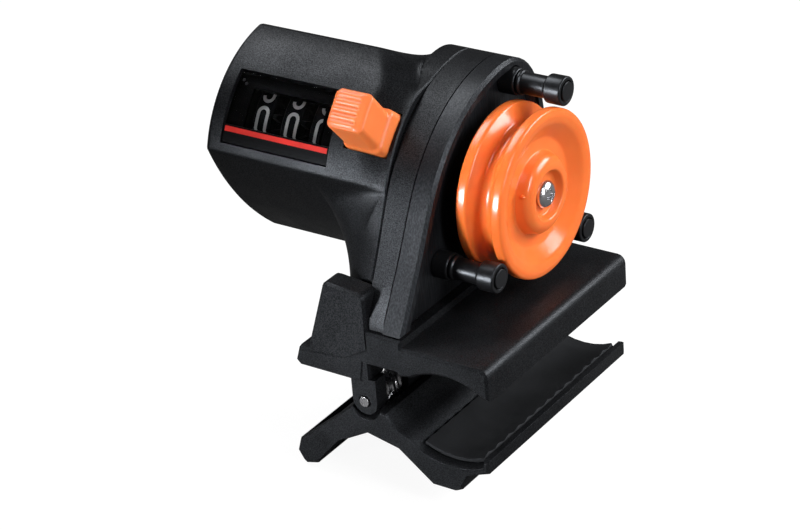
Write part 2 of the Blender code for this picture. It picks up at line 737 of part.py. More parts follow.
def liner_section(margin):
    """Section of the upper jaw's liner, (x, z), or with a margin the pocket it sits in."""
    centre = (0.0, ROD_RADIUS - SADDLE_RADIUS)
    spread = math.degrees(math.asin((LINER_HALF_WIDTH + margin) / SADDLE_RADIUS))
    top = arc(centre, SADDLE_RADIUS + LINER_THICKNESS + margin, 90 - spread, 90 + spread, 9)
    if margin:
        return np.vstack((top, arc(centre, SADDLE_RADIUS - LINER_THICKNESS, 90 + spread, 90 - spread, 9)))
    return np.vstack((top, arc(centre, SADDLE_RADIUS + margin, 90 + spread, 90 - spread, 9)))


def make_gear_case():
    """Middle ring with its web, base plate, saddle, finger wing and hinge lugs, one moulding."""
    half = JAW_LENGTH / 2
    top_ledge = FOOT_HEIGHT - GAP
    saddle_centre = (0.0, ROD_RADIUS - SADDLE_RADIUS)
    spread = math.degrees(math.asin(SADDLE_WIDTH / 2 / SADDLE_RADIUS))
    saddle = arc(saddle_centre, SADDLE_RADIUS, 90 + spread, 90 - spread, 11)
    fillet = arc((BASE_RIGHT - BASE_FILLET, BASE_TOP - BASE_FILLET), BASE_FILLET, 0, 90, 5)
    hollow = BASE_UNDER + HOLLOW_HEIGHT
    outline = counter_clockwise(np.vstack((
        saddle, ((BASE_RIGHT, BASE_UNDER),), fillet,
        ((COVER_FACE - GAP / 2, BASE_TOP), (COVER_FACE - GAP / 2, top_ledge), (CASE_BACK, top_ledge),
         (CASE_BACK, THUMB_ROOT_TOP), (CASE_BACK - THUMB_ROOT_LENGTH, THUMB_TOP + THUMB_LIP),
         (THUMB_LEFT + THUMB_LIP, THUMB_TOP), (THUMB_LEFT, THUMB_UNDER + THUMB_LIP),
         (THUMB_LEFT + THUMB_LIP, THUMB_UNDER), (-HOLLOW_LEFT, THUMB_UNDER),
         (-HOLLOW_LEFT + HOLLOW_HEIGHT, hollow),
         (-HOLLOW_RIGHT, hollow), (-HOLLOW_RIGHT + HOLLOW_HEIGHT, BASE_UNDER)))))
    end_rings = []
    for share in (0.0, 0.35, 1.0):
        drop = BASE_END_ROUND * (1 - math.sqrt(1 - (1 - share) ** 2)) / 2
        end_rings.append((half - BASE_END_ROUND * share, inset(outline, drop)))
    rings = [at_y(-place, ring) for place, ring in end_rings]
    rings += [at_y(place, ring) for place, ring in reversed(end_rings)]
    case = loft("gear_case", rings)

    outer_outline = cover_outline(BASE_UNDER + GAP * 4)
    cavity_outline = inset(cover_outline(FOOT_HEIGHT), CASE_WALL)
    flange = loft("case_ring", (
        at_x(WEB_FACE, cavity_outline), at_x(CASE_FACE, cavity_outline), at_x(CASE_FACE, outer_outline),
        leaned(CASE_BACK, outer_outline)), cutter=True)
    wing = finger_wing("finger_wing", 0.0)
    lugs = []
    for side, name in ((-1, "front_lug"), (1, "rear_lug")):
        outer = side * (half - LUG_INSET)
        inner = side * (half - LUG_INSET - LUG_THICKNESS)
        cheeks = arc((HINGE_X, HINGE_Z), KNUCKLE_RADIUS, 180, 360, 9)
        roof = THUMB_UNDER + GAP * 4
        lug_outline = np.vstack((cheeks, ((HINGE_X + KNUCKLE_RADIUS, roof), (HINGE_X - KNUCKLE_RADIUS, roof))))
        lugs.append(prism_y(name, lug_outline, min(outer, inner), max(outer, inner), cutter=True))
    join(case, flange, wing, *lugs)

    idler_reach = TRAIN_MODULE * (IDLER_TEETH / 2 + 1) + GAP * 2
    idler_well = turned_x("idler_well", IDLER, ((WEB_FACE, idler_reach), (CASE_FACE + GAP, idler_reach)),
                          cutter=True)
    pin_hole = turned_y("hinge_hole", (HINGE_X, HINGE_Z), (
        (-half - OVERRUN, HINGE_PIN_RADIUS + RUN_GAP), (half + OVERRUN, HINGE_PIN_RADIUS + RUN_GAP)), cutter=True)
    through = (CASE_BACK - OVERRUN, WEB_FACE + OVERRUN)
    holes = []
    for name, centre, radius in (
            ("shaft_end_hole", SHAFT, SHAFT_RADIUS + RUN_GAP),
            ("idler_hole", IDLER, TRAIN_MODULE * (PINION_TEETH / 2 + 1) + RUN_GAP),
            ("wheel_shaft_hole", WHEELS, WHEEL_SHAFT_RADIUS + RUN_GAP),
            ("pinion_shaft_hole", TRANSFER, TRANSFER_SHAFT_RADIUS + RUN_GAP),
            ("hammer_pin_hole", HAMMER, HAMMER_PIN_RADIUS + RUN_GAP)):
        holes.append(turned_x(name, centre, tuple((place, radius) for place in through),
                              steps=SMALL_STEPS, cutter=True))
    for number, angle in enumerate(BARREL_SCREW_ANGLES, 1):
        centre = screw_place(angle)
        slim = SCREW_RADIUS + RUN_GAP
        wide = SCREW_HEAD_RADIUS + RUN_GAP
        holes.append(turned_x(f"barrel_screw_hole_{number}", centre, (
            (CASE_BACK - OVERRUN, slim), (WEB_FACE - SCREW_HEAD_HEIGHT - RUN_GAP, slim), (WEB_FACE, wide),
            (WEB_FACE + SCREW_HEAD_HEIGHT, wide)), steps=SMALL_STEPS, cutter=True))
    for name, side in (("near", -1), ("far", 1)):
        centre = (COVER_BACK + COVER_FLOOR / 2, side * COVER_SCREW_SPREAD)
        slim = SCREW_RADIUS + RUN_GAP
        wide = SCREW_HEAD_RADIUS + RUN_GAP
        seat = BASE_UNDER + COVER_SCREW_HEAD_SINK
        holes.append(turned_z(f"cover_screw_hole_{name}", centre, (
            (BASE_UNDER - OVERRUN, wide), (seat, wide), (seat, slim), (FOOT_HEIGHT + OVERRUN, slim)), cutter=True))
    pocket = prism_y("saddle_pocket", liner_section(GAP), -half + PAD_END_GAP, half - PAD_END_GAP, cutter=True)
    cut(case, idler_well, pin_hole, pocket, *holes)
    return case


def make_liner():
    """Thin rubber liner of the upper jaw."""
    reach = JAW_LENGTH / 2 - PAD_END_GAP - GAP
    prism_y("saddle_pad", liner_section(0.0), -reach, reach, RUBBER)


def make_front_cover():
    """Side cover: flat plate with a proud rim and a cove, open at its foot."""
    outline = cover_outline(FOOT_HEIGHT)
    edge = COVER_RIM / 3
    cover = loft("front_cover", (
        at_x(COVER_BACK, outline), at_x(COVER_FACE - edge, outline), at_x(COVER_FACE, inset(outline, edge))),
        SATIN_BLACK)
    deep = inset(cover_outline(FOOT_HEIGHT - COVER_RIM - COVER_COVE - OVERRUN), COVER_RIM + COVER_COVE)
    wide = inset(cover_outline(FOOT_HEIGHT - COVER_RIM - OVERRUN), COVER_RIM)
    recess = loft("cover_recess", (
        at_x(FLOOR_FACE, deep), at_x(FLOOR_FACE + COVER_COVE, wide), at_x(COVER_FACE + OVERRUN, wide)), cutter=True)
    bush_hole = turned_x("bush_hole", SHAFT, (
        (COVER_BACK - OVERRUN, SHAFT_RADIUS + RUN_GAP + BUSH_WALL + GAP),
        (FLOOR_FACE + OVERRUN, SHAFT_RADIUS + RUN_GAP + BUSH_WALL + GAP)), cutter=True)
    blind = [turned_x("idler_seat", IDLER, (
        (COVER_BACK - OVERRUN, IDLER_PIN_RADIUS + RUN_GAP),
        (COVER_BACK + COVER_FLOOR / 2, IDLER_PIN_RADIUS + RUN_GAP)), steps=SMALL_STEPS, cutter=True)]
    for name, angle in GUIDES:
        blind.append(turned_x(f"{name}_guide_seat", SHAFT + GUIDE_PLACE_RADIUS * unit(angle), (
            (FLOOR_FACE - GUIDE_STUB_LENGTH - RUN_GAP, GUIDE_STUB_RADIUS + RUN_GAP),
            (FLOOR_FACE, GUIDE_STUB_RADIUS + RUN_GAP), (FLOOR_FACE, GUIDE_COLLAR_RADIUS + RUN_GAP),
            (COVER_FACE + OVERRUN, GUIDE_COLLAR_RADIUS + RUN_GAP)), cutter=True))
    for name, side in (("near", -1), ("far", 1)):
        centre = (COVER_BACK + COVER_FLOOR / 2, side * COVER_SCREW_SPREAD)
        blind.append(turned_z(f"cover_thread_{name}", centre, (
            (FOOT_HEIGHT - OVERRUN, SCREW_RADIUS + RUN_GAP),
            (BASE_UNDER + COVER_SCREW_LENGTH + GAP, SCREW_RADIUS + RUN_GAP)), cutter=True))
    cut(cover, recess, bush_hole, *blind)
    return cover


def make_window():
    """Clear lens and the index strip that closes the lower part of the opening."""
    slack = math.degrees(GAP / HOOD_RADIUS)
    left = WINDOW_LEFT + GAP
    right = WINDOW_RIGHT - GAP
    outer = HOOD_RADIUS - LENS_SINK
    lens = prism_x("window_lens", hood_patch(outer - LENS_THICKNESS, outer, WINDOW_TOP_ANGLE + slack, INDEX_TOP_ANGLE - slack, 8),
                   left, right, CLEAR)
    strip = prism_x("index_strip", hood_patch(outer - LENS_THICKNESS, outer + LENS_SINK / 2, INDEX_TOP_ANGLE,
                                              WINDOW_FOOT_ANGLE - slack, 4), left, right, DEEP_BLACK)
    return lens, strip


def make_button():
    """Reset button: ribbed leaning grip on a lip, with the stem that pushes the hammer."""
    half = BUTTON_LENGTH / 2
    surface = HOOD_RADIUS
    stem = half * BUTTON_STEM_SHARE
    top = surface + BUTTON_HEIGHT
    top_near = BUTTON_LEAN - BUTTON_TOP_LENGTH / 2
    rib = BUTTON_TOP_LENGTH / BUTTON_RIBS
    lip_top = surface + BUTTON_LIP
    points = [(-stem, surface - BUTTON_BURY - BUTTON_STEM_LENGTH), (stem, surface - BUTTON_BURY - BUTTON_STEM_LENGTH),
              (stem, surface - BUTTON_BURY), (half, surface - BUTTON_BURY), (half, lip_top),
              (half - BUTTON_LIP / 2, lip_top + BUTTON_LIP / 2)]
    ridges = []
    for index in range(BUTTON_RIBS):
        start = top_near + BUTTON_TOP_LENGTH - index * rib
        ridges.append((start, top - BUTTON_RIB_HEIGHT))
        ridges.append((start - rib * 0.25, top))
        ridges.append((start - rib * 0.75, top))
    ridges.append((top_near, top - BUTTON_RIB_HEIGHT))
    points += ridges
    points += [(-half + BUTTON_LIP / 2, lip_top + BUTTON_LIP / 2), (-half, lip_top), (-half, surface - BUTTON_BURY),
               (-stem, surface - BUTTON_BURY)]
    outline = counter_clockwise(np.array(points))
    width = BUTTON_WIDTH / 2
    small = inset(outline, BUTTON_CORNER / 3)
    button = loft("reset_button", (
        at_x(BUTTON_MIDDLE - width, button_plane(small)),
        at_x(BUTTON_MIDDLE - width + BUTTON_CORNER / 3, button_plane(outline)),
        at_x(BUTTON_MIDDLE + width - BUTTON_CORNER / 3, button_plane(outline)),
        at_x(BUTTON_MIDDLE + width, button_plane(small))), ORANGE)
    return button


# Pulley and guides

def make_pulley():
    """V-grooved pulley with dished faces, its shaft, bush, pinion and screw."""
    face = PULLEY_FACE
    back = PULLEY_BACK
    middle = (face + back) / 2
    edge = FLANGE_EDGE / 3
    bore = SHAFT_RADIUS + GAP
    dish = PULLEY_RADIUS * DISH_OUTER_SHARE
    floor = PULLEY_RADIUS * DISH_FLOOR_SHARE
    ring = PULLEY_RADIUS * HUB_RING_SHARE
    hole = PULLEY_RADIUS * HUB_HOLE_SHARE
    profile = (
        (face - HUB_HOLE_DEPTH, bore), (face - HUB_HOLE_DEPTH, hole), (face + HUB_RISE, hole + edge),
        (face + HUB_RISE / 2, ring - edge * 2), (face - DISH_DEPTH, ring + edge), (face - DISH_DEPTH, floor),
        (face - edge, dish), (face, dish + edge * 2), (face, PULLEY_RADIUS - edge), (face - edge, PULLEY_RADIUS),
        (face - FLANGE_EDGE, PULLEY_RADIUS - edge / 2), (middle + GROOVE_FLOOR, GROOVE_RADIUS + edge),
        (middle, GROOVE_RADIUS), (middle - GROOVE_FLOOR, GROOVE_RADIUS + edge),
        (back + FLANGE_EDGE, PULLEY_RADIUS - edge / 2), (back + edge, PULLEY_RADIUS), (back, PULLEY_RADIUS - edge),
        (back, dish), (back + DISH_DEPTH, floor), (back + DISH_DEPTH, ring), (back, ring - edge * 2), (back, bore))
    turned_x("line_pulley", SHAFT, profile, ORANGE, FINE_STEPS, closed=True)

    shaft_end = face - HUB_HOLE_DEPTH - GAP
    thread = PULLEY_SCREW_SHANK + GAP
    turned_x("main_shaft", SHAFT, (
        (SHAFT_SPLIT + GAP / 2, SHAFT_RADIUS), (shaft_end, SHAFT_RADIUS), (shaft_end, thread),
        (shaft_end - PULLEY_SCREW_LENGTH, thread)), STEEL)
    head = face - HUB_HOLE_DEPTH + GAP
    dome = [(head + PULLEY_SCREW_DOME * math.sin(turn), PULLEY_SCREW_HEAD * math.cos(turn))
            for turn in np.radians((0, 20, 40, 60, 78))]
    turned_x("pulley_screw", SHAFT, [
        (shaft_end - PULLEY_SCREW_LENGTH + GAP, PULLEY_SCREW_SHANK), (head, PULLEY_SCREW_SHANK)] + dome, STEEL)
    bush_inner = SHAFT_RADIUS + RUN_GAP
    bush_outer = bush_inner + BUSH_WALL
    turned_x("shaft_bush", SHAFT, (
        (COVER_BACK, bush_inner), (COVER_BACK, bush_outer), (FLOOR_FACE + GAP, bush_outer),
        (FLOOR_FACE + GAP, bush_outer + BUSH_FLANGE), (FLOOR_FACE + GAP + BUSH_FLANGE_THICKNESS, bush_outer + BUSH_FLANGE),
        (FLOOR_FACE + GAP + BUSH_FLANGE_THICKNESS, bush_inner)), BRASS, closed=True)


def make_guides():
    """Three line guides: a fixed pin with a collar, and a free roller with a wide cap."""
    collar_end = FLOOR_FACE + GUIDE_COLLAR_LENGTH
    head_start = GUIDE_END - GUIDE_HEAD_THICKNESS
    edge = GUIDE_EDGE
    for name, angle in GUIDES:
        centre = SHAFT + GUIDE_PLACE_RADIUS * unit(angle)
        turned_x(f"{name}_guide_pin", centre, (
            (FLOOR_FACE - GUIDE_STUB_LENGTH, GUIDE_STUB_RADIUS), (FLOOR_FACE + GAP, GUIDE_STUB_RADIUS),
            (FLOOR_FACE + GAP, GUIDE_COLLAR_RADIUS), (collar_end - edge, GUIDE_COLLAR_RADIUS),
            (collar_end, GUIDE_COLLAR_RADIUS - edge), (collar_end, GUIDE_CORE_RADIUS),
            (head_start, GUIDE_CORE_RADIUS), (head_start, GUIDE_HEAD_RADIUS),
            (GUIDE_END - edge / 2, GUIDE_HEAD_RADIUS), (GUIDE_END, GUIDE_HEAD_RADIUS - edge / 2)), DEEP_BLACK, 20)
        bore = GUIDE_CORE_RADIUS + RUN_GAP
        start = collar_end + RUN_GAP
        cap = GUIDE_END - GUIDE_CAP_LENGTH
        rim = GUIDE_END - RUN_GAP
        well = GUIDE_HEAD_RADIUS + RUN_GAP
        turned_x(f"{name}_guide_roller", centre, (
            (start, bore), (start, GUIDE_SLEEVE_RADIUS + edge), (start + edge, GUIDE_SLEEVE_RADIUS + edge),
            (start + edge * 2, GUIDE_SLEEVE_RADIUS), (cap - edge, GUIDE_SLEEVE_RADIUS), (cap, GUIDE_CAP_RADIUS),
            (rim - edge, GUIDE_CAP_RADIUS), (rim, GUIDE_CAP_RADIUS - edge), (rim, well),
            (head_start - RUN_GAP, well), (head_start - RUN_GAP, bore)), DEEP_BLACK, 20, closed=True)


# Counter mechanism

def make_train():
    """Pinion on the shaft, two-step idler on its pin, and the drive wheel."""
    to_idler = math.degrees(math.atan2(*(IDLER - SHAFT)[::-1]))
    right = CASE_FACE - GAP
    left = right - TRAIN_GEAR_WIDTH
    pinion = prism_x("main_pinion", gear_outline(SHAFT, PINION_TEETH, TRAIN_MODULE, to_idler),
                     left - GAP / 2, right, WHITE_GEAR)
    cut(pinion, turned_x("main_pinion_bore", SHAFT, (
        (left - OVERRUN, SHAFT_RADIUS + GAP), (right + OVERRUN, SHAFT_RADIUS + GAP)), steps=SMALL_STEPS, cutter=True))

    big_phase = to_idler + 180 + 180 / IDLER_TEETH
    big = gear_outline(IDLER, IDLER_TEETH, TRAIN_MODULE, big_phase)
    to_wheels = math.degrees(math.atan2(*(WHEELS - IDLER)[::-1]))
    small_left = BARREL_OPEN - CASE_LEAN - 2 * GAP - TRAIN_GEAR_WIDTH
    small = gear_outline(IDLER, PINION_TEETH, TRAIN_MODULE, to_wheels)
    idler = prism_x("idler_gear", big, left, right, WHITE_GEAR)
    hub = turned_x("idler_hub", IDLER, ((small_left + GAP, IDLER_HUB_RADIUS), (left + GAP, IDLER_HUB_RADIUS)),
                   steps=SMALL_STEPS, cutter=True)
    step = prism_x("idler_step", small, small_left, small_left + TRAIN_GEAR_WIDTH, cutter=True)
    join(idler, hub, step)
    cut(idler, turned_x("idler_bore", IDLER, (
        (small_left - OVERRUN, IDLER_PIN_RADIUS + RUN_GAP), (right + OVERRUN, IDLER_PIN_RADIUS + RUN_GAP)),
        steps=SMALL_STEPS, cutter=True))
    turned_x("idler_pin", IDLER, (
        (small_left - GAP, IDLER_PIN_RADIUS), (COVER_BACK + COVER_FLOOR / 2 - GAP, IDLER_PIN_RADIUS)),
        STEEL, SMALL_STEPS)

    wheel_phase = to_wheels + 180 + 180 / DRIVE_TEETH
    drive = prism_x("drive_wheel", gear_outline(WHEELS, DRIVE_TEETH, TRAIN_MODULE, wheel_phase),
                    small_left, small_left + TRAIN_GEAR_WIDTH, WHITE_GEAR)
    disc_left = WHEEL_LEFT + 3 * WHEEL_PITCH
    bore = WHEEL_SHAFT_RADIUS + RUN_GAP
    disc = turned_x("drive_disc", WHEELS, (
        (disc_left, DRIVE_DISC_RADIUS), (disc_left + DRIVE_DISC_WIDTH, DRIVE_DISC_RADIUS),
        (disc_left + DRIVE_DISC_WIDTH, DRIVE_HUB_RADIUS), (small_left + GAP, DRIVE_HUB_RADIUS)), cutter=True)
    join(drive, disc)
    cut(drive, turned_x("drive_bore", WHEELS, ((disc_left - OVERRUN, bore), (BARREL_OPEN + OVERRUN, bore)),
                        steps=SMALL_STEPS, cutter=True))


def cam_outline():
    """Heart cam: its radius falls from the large to the small value half a turn away."""
    turn = np.linspace(0, 2 * math.pi, 28, endpoint=False)
    share = np.abs(turn / math.pi - 1)
    radius = CAM_SMALL + (CAM_LARGE - CAM_SMALL) * share
    return np.column_stack((WHEELS[0] + radius * np.cos(turn), WHEELS[1] + radius * np.sin(turn)))


def make_number_wheels():
    """Three digit wheels, each with a heart cam on its left and a ring gear on its right."""
    ring_phase = TRANSFER_ANGLE
    bore = WHEEL_SHAFT_RADIUS + RUN_GAP
    small_phase = TRANSFER_ANGLE + 180 + 180 / TRANSFER_TEETH
    for index, name in enumerate(("hundreds", "tens", "units")):
        cam_left = WHEEL_LEFT + index * WHEEL_PITCH
        drum_left = cam_left + CAM_WIDTH
        drum_right = drum_left + DRUM_WIDTH
        ring_right = drum_right + RING_GEAR_WIDTH
        edge = CAM_WIDTH / 4
        wheel = turned_x(f"{name}_wheel", WHEELS, (
            (drum_left, WHEEL_RADIUS - edge), (drum_left + edge, WHEEL_RADIUS), (drum_right - edge, WHEEL_RADIUS),
            (drum_right, WHEEL_RADIUS - edge)), DEEP_BLACK, ROUND_STEPS)
        cam = prism_x(f"{name}_cam", cam_outline(), cam_left, drum_left + edge, cutter=True)
        ring = prism_x(f"{name}_ring", gear_outline(WHEELS, RING_TEETH, CARRY_MODULE, ring_phase),
                       drum_right - edge, ring_right, cutter=True)
        join(wheel, cam, ring)
        cut(wheel, turned_x(f"{name}_bore", WHEELS, ((cam_left - OVERRUN, bore), (ring_right + OVERRUN, bore)),
                            steps=SMALL_STEPS, cutter=True))
        pinion_left = drum_right + GAP / 2
        pinion_right = cam_left + WHEEL_PITCH + CAM_WIDTH - GAP / 2
        pinion = prism_x(f"{name}_transfer_pinion", gear_outline(TRANSFER, TRANSFER_TEETH, CARRY_MODULE, small_phase),
                         pinion_left, pinion_right, WHITE_GEAR)
        pin_bore = TRANSFER_SHAFT_RADIUS + RUN_GAP
        cut(pinion, turned_x(f"{name}_pinion_bore", TRANSFER, (
            (pinion_left - OVERRUN, pin_bore), (pinion_right + OVERRUN, pin_bore)), steps=SMALL_STEPS, cutter=True))
    seat = BARREL_END + BARREL_WALL + GAP
    turned_x("number_wheel_shaft", WHEELS, (
        (seat, WHEEL_SHAFT_RADIUS), (SHAFT_SPLIT - GAP / 2, WHEEL_SHAFT_RADIUS)),
             STEEL, SMALL_STEPS)
    turned_x("pinion_shaft", TRANSFER, ((seat, TRANSFER_SHAFT_RADIUS), (WEB_FACE, TRANSFER_SHAFT_RADIUS)),
             STEEL, SMALL_STEPS)


def make_reset():
    """Hammer with three fingers over the cams and a pad under the button, its pin and spring."""
    out = unit(BUTTON_ANGLE)
    pad_place = BARREL + (HOOD_RADIUS - BUTTON_BURY - BUTTON_STEM_LENGTH - GAP) * out
    left = WHEEL_LEFT + GAP
    right = BUTTON_MIDDLE + HAMMER_PAD_WIDTH / 2
    bore = HAMMER_PIN_RADIUS + RUN_GAP
    hammer = turned_x("reset_hammer", HAMMER, (
        (left, bore), (left, HAMMER_SLEEVE_RADIUS), (right, HAMMER_SLEEVE_RADIUS), (right, bore)),
        WHITE_GEAR, SMALL_STEPS, closed=True)

    def bar(name, tip, start, end):
        ahead = (tip - HAMMER) / np.linalg.norm(tip - HAMMER)
        across = np.array((-ahead[1], ahead[0])) * HAMMER_BAR_HALF
        root = HAMMER + ahead * (HAMMER_SLEEVE_RADIUS + bore) / 2
        return prism_x(name, np.array((root - across, tip - across, tip + across, root + across)),
                       start, end, cutter=True)

    finger_tip = WHEELS + (WHEEL_RADIUS - GAP * 2) * unit(118.0)
    fingers = []
    for index, name in enumerate(("hundreds", "tens", "units")):
        start = WHEEL_LEFT + index * WHEEL_PITCH + (CAM_WIDTH - HAMMER_FINGER_WIDTH) / 2
        fingers.append(bar(f"{name}_finger", finger_tip, max(start, left + GAP), start + HAMMER_FINGER_WIDTH))
    pad = bar("hammer_pad", pad_place - out * HAMMER_BAR_HALF, BUTTON_MIDDLE - HAMMER_PAD_WIDTH / 2,
              BUTTON_MIDDLE + HAMMER_PAD_WIDTH / 2 - GAP)
    join(hammer, *fingers, pad)
    seat = BARREL_END + BARREL_WALL + GAP
    turned_x("hammer_pin", HAMMER, ((seat, HAMMER_PIN_RADIUS), (WEB_FACE, HAMMER_PIN_RADIUS)), STEEL, SMALL_STEPS)

    per_turn = 8
    coil_start = left - GAP - RESET_WIRE
    points = []
    for step in range(RESET_TURNS * per_turn + 1):
        place = HAMMER + RESET_COIL_RADIUS * unit(RESET_START_ANGLE + 360 * step / per_turn)
        points.append((coil_start - RESET_PITCH * step / per_turn, *place))
    leg = unit(RESET_LEG_ANGLE) * RESET_LEG
    lead = np.array(points[0]) + (0.0, *leg)
    tail = np.array(points[-1]) + (0.0, *leg)
    path = np.vstack((lead, points, tail))
    wire("reset_spring", path, RESET_WIRE)
    print("reset spring least gap to itself, mm:", round(least_self_gap(points, RESET_WIRE, per_turn) / MM, 2))


# Clamp

def jaw_outline():
    """Section of the lower jaw, (x, z): rim, pad seat, hump, hinge trough and lever."""
    seat_radius = SADDLE_RADIUS + PAD_THICKNESS
    seat_centre = (0.0, SADDLE_RADIUS - ROD_RADIUS)
    spread = math.degrees(math.asin((PAD_HALF_WIDTH + GAP) / seat_radius))
    seat = arc(seat_centre, seat_radius, 270 + spread, 270 - spread, 11)
    trough = arc((HINGE_X, HINGE_Z), HINGE_CLEAR, -22, -152, 8)
    rim_inner = JAW_RIGHT - JAW_RIM_WIDTH
    hump_top = (HINGE_X + HINGE_CLEAR + JAW_RIM_WIDTH, HINGE_Z - KNUCKLE_RADIUS / 2)
    tip_low = (LEVER_TIP_X + LEVER_THICKNESS / 2, LEVER_TIP_Z - LEVER_DROP)
    return counter_clockwise(np.vstack((
        ((JAW_RIGHT, JAW_RIM_FOOT), (JAW_RIGHT, JAW_RIM_TOP), (rim_inner, JAW_RIM_TOP)),
        seat,
        ((-PAD_HALF_WIDTH - JAW_RIM_WIDTH, JAW_RIM_TOP), (HINGE_X / 2 - JAW_RIM_WIDTH, JAW_RIM_TOP + JAW_RIM_WIDTH),
         (HINGE_X + HINGE_CLEAR + KNUCKLE_RADIUS, HINGE_Z - HINGE_CLEAR), hump_top),
        trough,
        ((LEVER_TIP_X, LEVER_TIP_Z), (LEVER_TIP_X - LEVER_THICKNESS / 3, LEVER_TIP_Z - LEVER_DROP / 2),
         (tip_low[0] - LEVER_THICKNESS / 3, tip_low[1] + JAW_EDGE), tip_low,
         (tip_low[0] + LEVER_THICKNESS, tip_low[1] + JAW_EDGE),
         (HINGE_X - HINGE_CLEAR * 2, HINGE_Z - HINGE_CLEAR - LEVER_THICKNESS * 3),
         (HINGE_X, HINGE_Z - HINGE_CLEAR - LEVER_THICKNESS * 1.4),
         (HINGE_X + HINGE_CLEAR * 2, HINGE_Z - HINGE_CLEAR - LEVER_THICKNESS * 2),
         (KEEL_RIGHT - KEEL_WIDTH, KEEL_UNDER), (KEEL_RIGHT - JAW_EDGE, KEEL_UNDER),
         (KEEL_RIGHT + JAW_EDGE, KEEL_UNDER + JAW_EDGE), (KEEL_RIGHT + JAW_RIM_WIDTH * 2, JAW_UNDER),
         (JAW_RIGHT / 2, JAW_UNDER + GAP)))))


def make_clamp():
    """Lower jaw with its pad, hinge pin and the two torsion springs."""
    half = JAW_LENGTH / 2
    outline = jaw_outline()
    tight = inset(outline, JAW_EDGE / 2)
    jaw = loft("lower_jaw", (
        at_y(-half, tight), at_y(-half + JAW_EDGE, outline), at_y(half - JAW_EDGE, outline), at_y(half, tight)))
    knuckle = prism_y("jaw_knuckle", np.vstack((
        arc((HINGE_X, HINGE_Z), KNUCKLE_RADIUS, 0, 180, 9),
        ((HINGE_X - KNUCKLE_RADIUS, HINGE_Z - HINGE_CLEAR - JAW_EDGE),
         (HINGE_X + KNUCKLE_RADIUS, HINGE_Z - HINGE_CLEAR - JAW_EDGE)))), -KNUCKLE_HALF, KNUCKLE_HALF, cutter=True)
    join(jaw, knuckle)
    hole = turned_y("jaw_pin_hole", (HINGE_X, HINGE_Z), (
        (-half - OVERRUN, HINGE_PIN_RADIUS + RUN_GAP), (half + OVERRUN, HINGE_PIN_RADIUS + RUN_GAP)), cutter=True)
    ahead = np.array((LEVER_TIP_X - HINGE_X, LEVER_TIP_Z - HINGE_Z - HINGE_CLEAR / 2))
    ahead /= np.linalg.norm(ahead)
    down = np.array((-ahead[1], ahead[0])) * LEVER_SCOOP
    top = np.array((LEVER_TIP_X, LEVER_TIP_Z)) - ahead * LEVER_WALL
    root = top - ahead * LEVER_SCOOP_LENGTH
    scoop = prism_y("lever_scoop", np.array((top + down, root + down, root - down * 2, top - down * 2)),
                    -half + LEVER_WALL, half - LEVER_WALL, cutter=True)
    cut(jaw, hole, scoop)
    turned_y("hinge_pin", (HINGE_X, HINGE_Z), ((-half, HINGE_PIN_RADIUS), (half, HINGE_PIN_RADIUS)), STEEL)

    top_radius = SADDLE_RADIUS
    low_radius = SADDLE_RADIUS + PAD_THICKNESS - GAP
    centre = (0.0, SADDLE_RADIUS - ROD_RADIUS)
    pad_half = half - PAD_END_GAP
    rib = 2 * pad_half / (PAD_RIBS * 2 + 1)
    rings = []
    for index in range(PAD_RIBS * 2 + 2):
        dip = PAD_RIB_DEPTH if index % 2 == 0 else 0.0
        spread = math.degrees(math.asin(PAD_HALF_WIDTH / low_radius))
        top = arc(centre, top_radius + dip, 270 - spread, 270 + spread, 7)
        low = arc(centre, low_radius, 270 + spread, 270 - spread, 7)
        rings.append(at_y(-pad_half + rib * index, np.vstack((top, low))))
    loft("jaw_pad", rings, RUBBER, sharp=20.0)

    per_turn = 8
    for name, side in (("front", -1), ("rear", 1)):
        start = side * (half - LUG_INSET - LUG_THICKNESS - JAW_SPRING_START)
        points = []
        for step in range(JAW_SPRING_TURNS * per_turn + 1):
            turn = unit(220 - side * 360 * step / per_turn) * JAW_SPRING_COIL
            points.append((HINGE_X + turn[0], start - side * JAW_SPRING_PITCH * step / per_turn, HINGE_Z + turn[1]))
        points = np.array(points)
        down = unit(228)
        lead = points[0] + np.array((down[0], 0, down[1])) * JAW_SPRING_LEG * 0.25
        rise = unit(140)
        tail = points[-1] + np.array((rise[0], 0, rise[1])) * JAW_SPRING_LEG * 0.2
        wire(f"{name}_jaw_spring", np.vstack((lead, points, tail)), JAW_SPRING_WIRE)
        gap = least_self_gap(points, JAW_SPRING_WIRE, per_turn)
        print(name, "jaw spring least gap to itself, mm:", round(gap / MM, 2))


# Screws

def make_screws():
    """Three countersunk screws into the barrel bosses and two pan screws into the cover foot."""
    for number, angle in enumerate(BARREL_SCREW_ANGLES, 1):
        centre = screw_place(angle)
        head = WEB_FACE - SCREW_HEAD_HEIGHT
        turned_x(f"barrel_screw_{number}", centre, (
            (BARREL_OPEN - BARREL_SCREW_LENGTH + GAP, SCREW_RADIUS), (head, SCREW_RADIUS),
            (WEB_FACE - GAP / 2, SCREW_HEAD_RADIUS), (WEB_FACE, SCREW_HEAD_RADIUS)), STEEL, SMALL_STEPS)

    for name, side in (("near", -1), ("far", 1)):
        centre = (COVER_BACK + COVER_FLOOR / 2, side * COVER_SCREW_SPREAD)
        seat = BASE_UNDER + COVER_SCREW_HEAD_SINK - GAP
        turned_z(f"cover_screw_{name}", centre, (
            (seat - SCREW_HEAD_HEIGHT, SCREW_HEAD_RADIUS), (seat, SCREW_HEAD_RADIUS), (seat, SCREW_RADIUS),
            (BASE_UNDER + COVER_SCREW_LENGTH, SCREW_RADIUS)))


make_barrel_housing()
make_gear_case()
make_liner()
make_front_cover()
make_window()
make_button()
make_pulley()
make_guides()
make_train()
make_number_wheels()
make_reset()
make_clamp()
make_screws()
